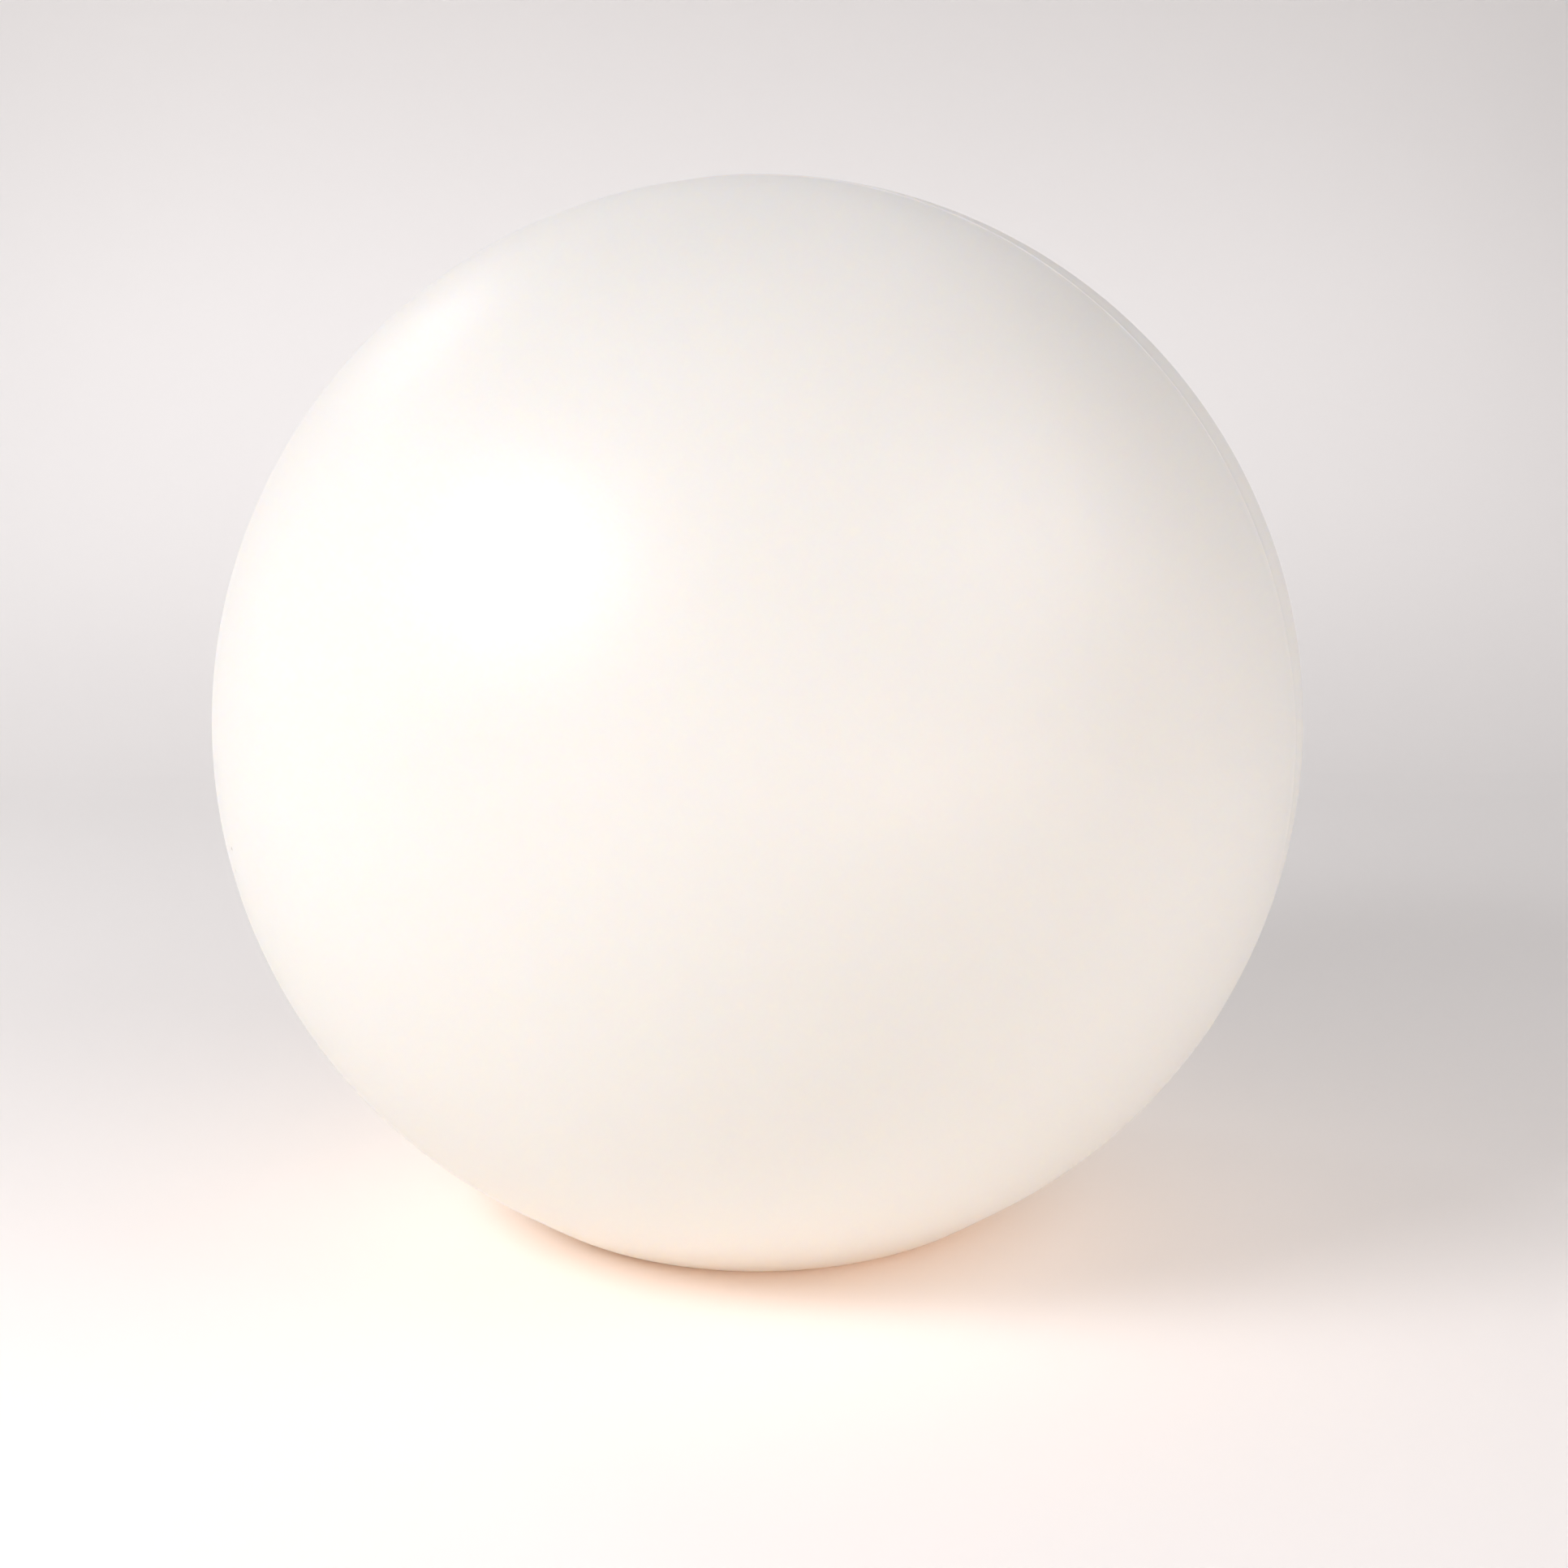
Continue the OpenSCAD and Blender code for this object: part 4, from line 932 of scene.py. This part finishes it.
def screw_steel():
    """Stainless steel with the lathe's rings on the heads under the base, and painted shade darkening the
    cross recess.
    """
    f = metal("screw_steel", (0.62, 0.61, 0.6), 0.26, 0.35)
    ring = f.around(BOLT_R, SCREWS)
    rings = f.work_out("SINE", f.times(ring["Away"], 42.0))
    under = f.all_of(f.fall(ring["Away"], 2.8, 3.0), f.rise(rings, -1.0, 1.0))
    f.raise_by(under, 0.006)
    # Painted shade: the cross recess in each head is coloured dark.
    recess = f.all_of(f.fall(ring["Away"], 1.6, 1.9), f.rise(f.z, 19.5, 20.2),
                      f.fall(f.z, 20.6, 21.0))
    f.tint(f.mix(recess, f.tone, (0.2, 0.19, 0.18)))
    return f


def button_plastic():
    """Dark grey moulding with the marks filled in pale paint."""
    f = moulded("button_plastic", (0.032, 0.034, 0.038), 0.5, 0.3, 0.014)
    side = f.size_of(f.x)
    face = f.within(f.minus(side, BUTTON_X), f.minus(f.y, BUTTON_Y), 4.8)
    paint = f.all_of(face, f.beyond(f.z, 20.98, 0.04), f.below(f.z, BASE_Z))
    uneven = f.between(f.speckle(0.3, 2), 0.75, 1.0)
    paint = f.times(paint, uneven)
    f.tint(f.mix(paint, f.tone, (0.66, 0.66, 0.64)))
    f.matt(f.blend(paint, f.rough, 0.62))
    return f


def circuit_board():
    """Green solder mask over tracks, tinned vias, and the woven board's own colour at its cut edge."""
    f = Finish("circuit_board", IOR=1.5)
    tracks = f.add("ShaderNodeTexVoronoi", feature="DISTANCE_TO_EDGE", Vector=f.place, Scale=0.24,
                   Randomness=0.4)
    track = f.fall(tracks.outputs["Distance"], 0.09, 0.12)
    spots = f.add("ShaderNodeTexVoronoi", feature="F1", Vector=f.place, Scale=0.2, Randomness=0.9)
    via = f.fall(spots.outputs["Distance"], 0.06, 0.075)
    cut = f.side_faces()
    mask = f.mix(track, (0.008, 0.07, 0.024), (0.018, 0.15, 0.05))
    mask = f.mix(via, mask, (0.6, 0.6, 0.58))
    weave = f.rise(f.lumps(f.scaled(f.place, (1, 1, 9)), 1.2, 2), 0.4, 0.6)
    f.tint(f.mix(cut, mask, f.mix(weave, (0.36, 0.33, 0.17), (0.24, 0.24, 0.12))))
    f.feed(f.all_of(via, f.rest_of(cut)), "Metallic")
    f.matt(f.blend(cut, f.between(track, 0.3, 0.24), 0.7))
    f.raise_by(f.any_of(track, via), 0.03)
    return f


def switch_body():
    """Black switch bodies with a steel lid and a brown plunger."""
    f = moulded("switch_body", (0.018, 0.018, 0.02), 0.45)
    across = f.minus(f.size_of(f.x), BUTTON_X)
    plunger = f.within(across, f.minus(f.y, BUTTON_Y), 1.75)
    lid = f.all_of(f.below(f.z, SWITCH_LID_Z), f.rest_of(plunger))
    f.tint(f.mix(lid, f.mix(plunger, f.tone, (0.11, 0.05, 0.03)), (0.6, 0.6, 0.6)))
    f.feed(lid, "Metallic")
    f.matt(f.blend(lid, f.rough, 0.32))
    return f


def indicator_lens():
    """A pale lens between two soldered ends."""
    f = Finish("indicator_lens", Roughness=0.25, IOR=1.5)
    ends = f.beyond(f.size_of(f.x), 0.72, 0.06)
    lens = f.mix(f.speckle(0.3), (0.78, 0.76, 0.5), (0.86, 0.85, 0.66))
    f.tint(f.mix(ends, lens, (0.7, 0.69, 0.66)))
    f.feed(ends, "Metallic")
    f.raise_by(f.speckle(0.25), 0.01)
    return f


def light_pipe_acrylic():
    """Clear acrylic, a little hazy at its polished end."""
    f = Finish("light_pipe_acrylic", Base_Color=(0.96, 0.98, 0.99), Transmission_Weight=1.0, IOR=1.49)
    f.matt(f.between(f.speckle(0.6, 3), 0.04, 0.16, 0.3, 0.7))
    f.raise_by(f.speckle(0.9), 0.004)
    return f


def socket_plastic():
    """Glossy black moulding with the thread that its nut runs on."""
    f = moulded("socket_plastic", (0.014, 0.014, 0.016), 0.26, 0.5, 0.004, 0.2)
    across, along = f.x, f.minus(f.y, SOCKET_Y)
    turn = f.work_out("ARCTAN2", along, across)
    thread = f.work_out("SINE", f.work_out("ADD", turn, f.times(f.z, math.tau / 0.75)))
    bush = f.all_of(f.rest_of(f.within(across, along, 5.3)), f.beyond(f.z, BASE_Z + 0.1))
    f.raise_by(f.all_of(f.rise(thread, -1.0, 1.0), bush), 0.22)
    return f


def from_cell(f):
    """How far a place is across and up from the axis of the nearest cell."""
    return f.minus(f.x, f.nearest_step(f.x, CELL_PITCH)), f.minus(f.z, CELL_Z)


def cell_sleeve():
    """Blue shrink sleeves, wrinkled where they fold over the steel ends, with a white washer at one end."""
    f = Finish("cell_sleeve", IOR=1.5)
    across, up = from_cell(f)
    end = f.beyond(f.size_of(f.y), 32.25, 0.1)
    steel = f.all_of(end, f.within(across, up, 7.3))
    washer = f.all_of(steel, f.beyond(f.y, 0.0), f.rest_of(f.within(across, up, 3.2)))
    seam = f.fall(f.size_of(f.work_out("ADD", across, 3.0)), 0.1, 0.3)
    sleeve = f.mix(f.speckle(6, 3), (0.012, 0.05, 0.24), (0.018, 0.075, 0.31))
    colour = f.mix(steel, sleeve, f.mix(f.speckle(2, 3), (0.5, 0.5, 0.5), (0.62, 0.62, 0.61)))
    f.tint(f.mix(washer, colour, (0.78, 0.77, 0.73)))
    f.feed(f.all_of(steel, f.rest_of(washer)), "Metallic")
    f.matt(f.blend(steel, 0.24, f.blend(washer, 0.36, 0.8)))
    fold = f.all_of(f.rise(f.size_of(f.y), 28.5, 32.2),
                    f.lumps(f.scaled(f.place, (1, 0.18, 1)), 1.0, 2))
    f.raise_by(f.any_of(fold, f.all_of(seam, f.rest_of(end))), 0.12)
    return f


def nickel_strip():
    """Nickel with four weld spots at each cell, and plain nickel for the socket's pin."""
    f = metal("nickel_strip", (0.66, 0.63, 0.56), 0.3, 0.4)
    across, up = [f.size_of(v) for v in from_cell(f)]
    weld = f.within(f.minus(across, 1.3), f.minus(up, 1.3), 0.5, 0.25)
    f.tint(f.mix(weld, f.tone, (0.33, 0.28, 0.22)))
    f.raise_by(f.rest_of(weld), 0.08)
    return f


def board_components():
    """The parts on the board: ferrite, black packages with a pin mark, and sleeved cans with bare tops."""
    f = moulded("board_components", (0.02, 0.02, 0.022), 0.5, 0.3, 0.01, 0.12)
    ferrite = f.near(FERRITE_MIDDLE, 9)
    can = f.any_of(*[f.near(middle, 4.6) for middle in CAN_MIDDLES])
    top = f.all_of(can, f.beyond(f.z, 76.9), f.any_of(*[f.near(middle, 3.3) for middle in CAN_MIDDLES]))
    stripe = f.all_of(can, f.below(f.y, 4.1), f.rest_of(top))
    pin = f.all_of(f.near((-3.2, 4.8), 0.45), f.beyond(f.z, 69.2))
    colour = f.mix(ferrite, f.tone, f.mix(f.speckle(0.5, 3), (0.06, 0.06, 0.065), (0.1, 0.1, 0.1)))
    colour = f.mix(stripe, colour, (0.5, 0.52, 0.5))
    f.tint(f.mix(top, colour, (0.72, 0.73, 0.74)))
    f.feed(top, "Metallic")
    f.matt(f.blend(can, f.rough, 0.3))
    vents = []
    for middle in CAN_MIDDLES:
        across, along = [f.size_of(f.minus(v, m)) for v, m in zip((f.x, f.y), middle)]
        vents.append(f.fall(f.work_out("MINIMUM", across, along), 0.1, 0.2))
    scored = f.all_of(top, f.any_of(*vents))
    f.raise_by(f.rest_of(f.any_of(pin, scored)), 0.1)
    return f


def connector_nylon():
    """Off-white nylon with the slots between the contacts coloured dark as painted shade."""
    f = moulded("connector_nylon", (0.74, 0.7, 0.58), 0.42, 0.3, 0.008)
    wave = f.work_out("FRACT", f.work_out("DIVIDE", f.x, 2.0))
    slot = f.fall(f.size_of(f.minus(wave, 0.5)), 0.12, 0.18)
    slot = f.all_of(slot, f.side_faces())
    # Painted shade: the slots are coloured dark brown.
    f.tint(f.mix(slot, f.tone, (0.16, 0.14, 0.1)))
    f.raise_by(f.rest_of(slot), 0.3)
    return f


def spreader_aluminium():
    """Rolled aluminium, brushed along one way."""
    f = metal("spreader_aluminium", (0.74, 0.745, 0.75), 0.34, 0.5)
    brushed = f.lumps(f.scaled(f.place, (0.03, 1, 1)), 0.18, 2)
    f.raise_by(brushed, 0.006)
    f.matt(f.blend(brushed, 0.26, 0.44))
    return f


def led_board_mask():
    """White mask over the copper that links the lamps, and bare aluminium at the cut edge."""
    f = Finish("led_board_mask", IOR=1.5)
    cut = f.side_faces()
    r = f.length_of(f.x, f.y)
    links = [f.fall(f.size_of(f.minus(r, ring)), 1.5, 1.7) for ring in LED_RINGS]
    copper = f.any_of(*links)
    white = f.mix(copper, (0.82, 0.82, 0.8), (0.86, 0.855, 0.82))
    white = f.mix(f.all_of(f.speckle(1.5, 4), 0.5), white, (0.78, 0.775, 0.75))
    f.tint(f.mix(cut, white, (0.7, 0.7, 0.7)))
    f.feed(cut, "Metallic")
    f.matt(f.blend(cut, f.between(copper, 0.36, 0.28), 0.4))
    f.raise_by(copper, 0.04)
    return f


def led_package():
    """White packages with a round yellow window in each, on both rings, and a grey ring of painted shade on
    the wall round each window.
    """
    f = Finish("led_package", IOR=1.45)
    outer, inner = [f.around(r, count, 180 / count)["Away"] for r, count in zip(LED_RINGS, (16, 8))]
    away = f.work_out("MINIMUM", outer, inner)
    window = f.all_of(f.fall(away, 1.95, 2.05), f.beyond(f.z, LED_WINDOW_Z))
    rim = f.all_of(f.fall(away, 2.15, 2.3), f.beyond(f.z, LED_WINDOW_Z))
    yellow = f.mix(f.speckle(0.15, 2), (0.78, 0.5, 0.05), (0.85, 0.62, 0.1))
    # Painted shade: the recessed wall round each window is coloured grey.
    f.tint(f.mix(window, f.mix(rim, (0.78, 0.77, 0.72), (0.6, 0.59, 0.55)), yellow))
    f.matt(f.between(window, 0.5, 0.2))
    f.raise_by(f.rest_of(rim), 0.15)
    return f


def receiver_lens():
    """The dark lens of the infrared receiver."""
    f = Finish("receiver_lens", IOR=1.5, Coat_Weight=0.4)
    f.tint(f.mix(f.speckle(0.8, 2), (0.016, 0.006, 0.01), (0.03, 0.012, 0.018)))
    f.matt(f.between(f.speckle(1.0, 3), 0.1, 0.24, 0.3, 0.7))
    f.soften_edges(0.2)
    f.raise_by(f.speckle(0.5), 0.004)
    return f


def dome_polycarbonate():
    """Frosted polycarbonate that lets the light through and hides the lamps."""
    f = Finish("dome_polycarbonate", Base_Color=(0.93, 0.94, 0.95), Transmission_Weight=0.85, IOR=1.58)
    f.matt(f.between(f.speckle(2, 3), 0.4, 0.52, 0.3, 0.7))
    f.raise_by(f.speckle(0.25, 2), 0.02)
    return f


def lead_sleeve(name, colour):
    """The soft sleeve of a lead, with its slight drawn texture."""
    f = Finish(name, IOR=1.5)
    f.tint(f.mix(f.speckle(1.5, 3), tuple(c * 0.85 for c in colour), colour))
    f.matt(f.between(f.speckle(0.7, 2), 0.32, 0.46, 0.3, 0.7))
    f.raise_by(f.speckle(0.5, 2), 0.01)
    return f


def sweep_paper():
    """White backdrop paper that can't be seen from behind."""
    f = Finish("sweep_paper")
    f.tint(f.mix(f.speckle(3, 2), (0.938, 0.936, 0.908), (0.934, 0.932, 0.904)))
    f.matt(f.between(f.speckle(1.0, 2), 0.72, 0.8))
    side = f.add("ShaderNodeMixShader")
    f.put(f.add("ShaderNodeNewGeometry").outputs["Backfacing"], side.inputs[0])
    f.put(f.shader.outputs["BSDF"], side.inputs[1])
    f.put(f.add("ShaderNodeBsdfTransparent").outputs["BSDF"], side.inputs[2])
    f.put(side.outputs["Shader"], f.nodes["Material Output"].inputs["Surface"])
    return f


# Where the sweep starts to rise, the radius it rises by and the hole in it under the foot, in metres
SWEEP_START = 0.75
SWEEP_R = 0.9
SWEEP_HOLE_R = FOOT_R - 1 * MM

# How bright the room is on its bright side, and the tint and level of all the lights
ROOM_LIGHT = 0.47
LIGHT_TINT = (1, 0.96, 0.993)
LIGHT_LEVEL = 1.02


def lay_sweep():
    """The white sweep that the lamp stands on, open under the foot so that the underside can be seen."""
    put_down()
    bpy.ops.mesh.primitive_plane_add(size=1, location=(0, 0, 0))
    sweep = newest("sweep")
    sweep.scale = (8, 1, 1)
    settle(sweep)
    edit(sweep, "EDGE")
    choose_edges(sweep, lambda co: co.y < 0)
    bpy.ops.transform.translate(value=(0, -2.0, 0))
    bpy.ops.mesh.select_all(action="DESELECT")
    choose_edges(sweep, lambda co: co.y > 0)
    bpy.ops.transform.translate(value=(0, SWEEP_START - 0.5, 0))
    steps = 24
    turn = math.pi / 2 / steps
    for i in range(steps):
        a, b = i * turn, (i + 1) * turn
        draw_out(0, SWEEP_R * (math.sin(b) - math.sin(a)), SWEEP_R * (math.cos(a) - math.cos(b)))
    draw_out(0, 0, 2.0)
    take_all()
    bpy.ops.mesh.normals_make_consistent(inside=False)
    put_down()
    bpy.ops.mesh.primitive_cylinder_add(vertices=192, radius=SWEEP_HOLE_R, depth=0.2)
    hole = newest("hole_cutter")
    reshape(sweep, "BOOLEAN", operation="DIFFERENCE", object=hole)
    bpy.data.objects.remove(hole)
    if sweep.data.polygons[0].normal.z < 0:
        sweep.data.flip_normals()
    for face in sweep.data.polygons:
        face.use_smooth = face.normal.z < 0.999
    return sweep


def soft_light(name, direction, away, size, power, colour=LIGHT_TINT, target=GLOBE_CENTRE, spread=180):
    """A softbox that faces the target and stays out of the picture; a small spread is a grid on it."""
    lamp = bpy.data.lights.new(name, "AREA")
    lamp.shape = "RECTANGLE"
    lamp.size, lamp.size_y = size
    lamp.energy = LIGHT_LEVEL * power
    lamp.color = colour
    lamp.spread = math.radians(spread)
    softbox = bpy.data.objects.new(name, lamp)
    bpy.context.scene.collection.objects.link(softbox)
    toward = Vector(direction).normalized()
    softbox.location = Vector(target) + toward * away
    softbox.rotation_euler = (-toward).to_track_quat("-Z", "Y").to_euler()
    softbox.visible_camera = False


def from_angle(up, across):
    """The direction to a light from its height and its turn to the right of the camera, in degrees."""
    up, across = math.radians(up), math.radians(across)
    return (math.sin(across) * math.cos(up), -math.cos(across) * math.cos(up), math.sin(up))


def light_studio():
    """A key from the left, low strips along the floor in front, the backdrop's own lights and a dim room."""
    warm = (1, 0.79, 0.7)
    soft_light("key_softbox", from_angle(34, -50), 1.5, (0.62, 0.5), 11.1)
    soft_light("key_side", from_angle(34, -60), 1.5, (0.5, 0.5), 2.9)
    soft_light("right_softbox", from_angle(36, 62), 1.5, (1.1, 0.9), 6.1)
    soft_light("low_right_softbox", from_angle(10, 42), 1.5, (0.5, 0.5), 0.6)
    soft_light("front_reflector", from_angle(12, 0), 1.6, (2.0, 0.8), 1.85)
    soft_light("left_reflector", from_angle(20, -95), 1.4, (1.4, 1.2), 3.5)
    soft_light("low_strip", (0, -1, 0.12), 1.2, (2.0, 0.2), 1.2, warm, (0, 0, 0.02))
    soft_light("low_strip_far", (0, -1, 0.1), 1.9, (3.0, 0.35), 1.4, warm, (0, 0, 0.05))
    soft_light("low_strip_right", (0.8, -1, 0.12), 1.4, (1.2, 0.2), 2.0, warm, (0, 0, 0.03))
    soft_light("back_softbox", from_angle(60, 150), 1.5, (0.6, 0.6), 0.55)
    soft_light("backdrop_light", (0, 0.95, 0.75), 1.6, (1.6, 0.5), 0.6)
    soft_light("backdrop_left", (-0.55, 0.2, 1.0), 1.3, (0.6, 0.6), 5.5, target=(-0.7, 1.4, 0.4))
    soft_light("backdrop_strip", (0, -0.55, 1.0), 1.141, (1.6, 0.2), 0.39, target=(0, 1.45, 0.3), spread=50)
    soft_light("backdrop_foot", (0, -0.2, 1.08), 1.098, (1.6, 0.2), 0.27, target=(0, 1.2, 0.12), spread=50)
    soft_light("underside_light", (0, 0, -1), 0.9, (0.5, 0.5), 1.5, target=(0, 0, 0.02))

    # The room's own light comes from the right
    room = bpy.data.worlds.new("studio")
    bpy.context.scene.world = room
    room.use_nodes = True
    sheet = Sheet(room.node_tree)
    direction = sheet.add("ShaderNodeTexCoord").outputs["Generated"]
    share = sheet.between(sheet.split(direction)[0], 0.0, ROOM_LIGHT, -1.0, 1.0)
    sheet.put(share, room.node_tree.nodes["Background"].inputs["Strength"])
    room.node_tree.nodes["Background"].inputs["Color"].default_value = (*LIGHT_TINT, 1)


# The shared effects and the finishes of all slots
moulded_grain = make_moulded_grain()
softened_edge = make_softened_edge()
fine_scratches = make_fine_scratches()
silicone_bloom = make_silicone_bloom()
around_ring = make_around_ring()

finishes = {
    "globe": polyethylene(),
    "brass": insert_brass(),
    "gasket": silicone("gasket_silicone", (0.024, 0.024, 0.027)),
    "housing": housing_plastic(),
    "screw": screw_steel(),
    "button": button_plastic(),
    "boot": silicone("boot_silicone", (0.15, 0.15, 0.165)),
    "board": circuit_board(),
    "switch": switch_body(),
    "indicator": indicator_lens(),
    "light_pipe": light_pipe_acrylic(),
    "socket": socket_plastic(),
    "cap": silicone("cap_silicone", (0.02, 0.02, 0.022)),
    "cradle": moulded("cradle_plastic", (0.022, 0.022, 0.024), 0.5),
    "cell": cell_sleeve(),
    "nickel": nickel_strip(),
    "clamp": moulded("clamp_plastic", (0.56, 0.56, 0.54), 0.46),
    "components": board_components(),
    "connector": connector_nylon(),
    "spreader": spreader_aluminium(),
    "led_board": led_board_mask(),
    "led": led_package(),
    "receiver": receiver_lens(),
    "dome": dome_polycarbonate(),
    "lead_red": lead_sleeve("red_lead", (0.42, 0.014, 0.01)),
    "lead_white": lead_sleeve("white_lead", (0.66, 0.65, 0.6)),
    "lead_black": lead_sleeve("black_lead", (0.016, 0.016, 0.018)),
}


def dress(piece, slot):
    piece.data.materials.clear()
    piece.data.materials.append(finishes[slot].material)


def fit(piece, body, slot, *nodes):
    """A new piece takes its slot's finish, rides on its body and stands for the CAD nodes it refines."""
    dress(piece, slot)
    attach(piece, body)
    if nodes:
        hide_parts(*nodes)


# The pieces that are modelled anew: all that can be seen from outside, below too
fit(mould_globe(), "lamp", "globe", "globe_shell")
power, mode = make_buttons()
fit(power, "power_button", "button", "power_button")
fit(mode, "mode_button", "button", "mode_button")
for screw in make_base_screws():
    fit(screw, "lamp", "screw", "base_screws")
socket, pin = make_socket()
fit(socket, "lamp", "socket", "charge_socket")
fit(pin, "lamp", "nickel")
fit(make_cap(), "charge_cap", "cap", "charge_cap")
fit(make_anchor(), "lamp", "cap", "cap_anchor")
strap = make_strap()
dress(strap, "cap")
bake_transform(strap)

# Every other node keeps its shape from the CAD and gets the finish of its slot
for part in frame["record"]["subparts"]:
    node = bpy.data.objects.get(part["node"])
    if node is not None and not node.hide_render:
        dress(node, part["material_slot"])

# The studio
put_camera()
sweep = lay_sweep()
sweep.data.materials.append(sweep_paper().material)
light_studio()
bpy.context.scene.view_settings.view_transform = "Standard"
bpy.context.scene.cycles.use_denoising = True
bpy.context.scene.cycles.max_bounces = 32
bpy.context.scene.cycles.diffuse_bounces = 20
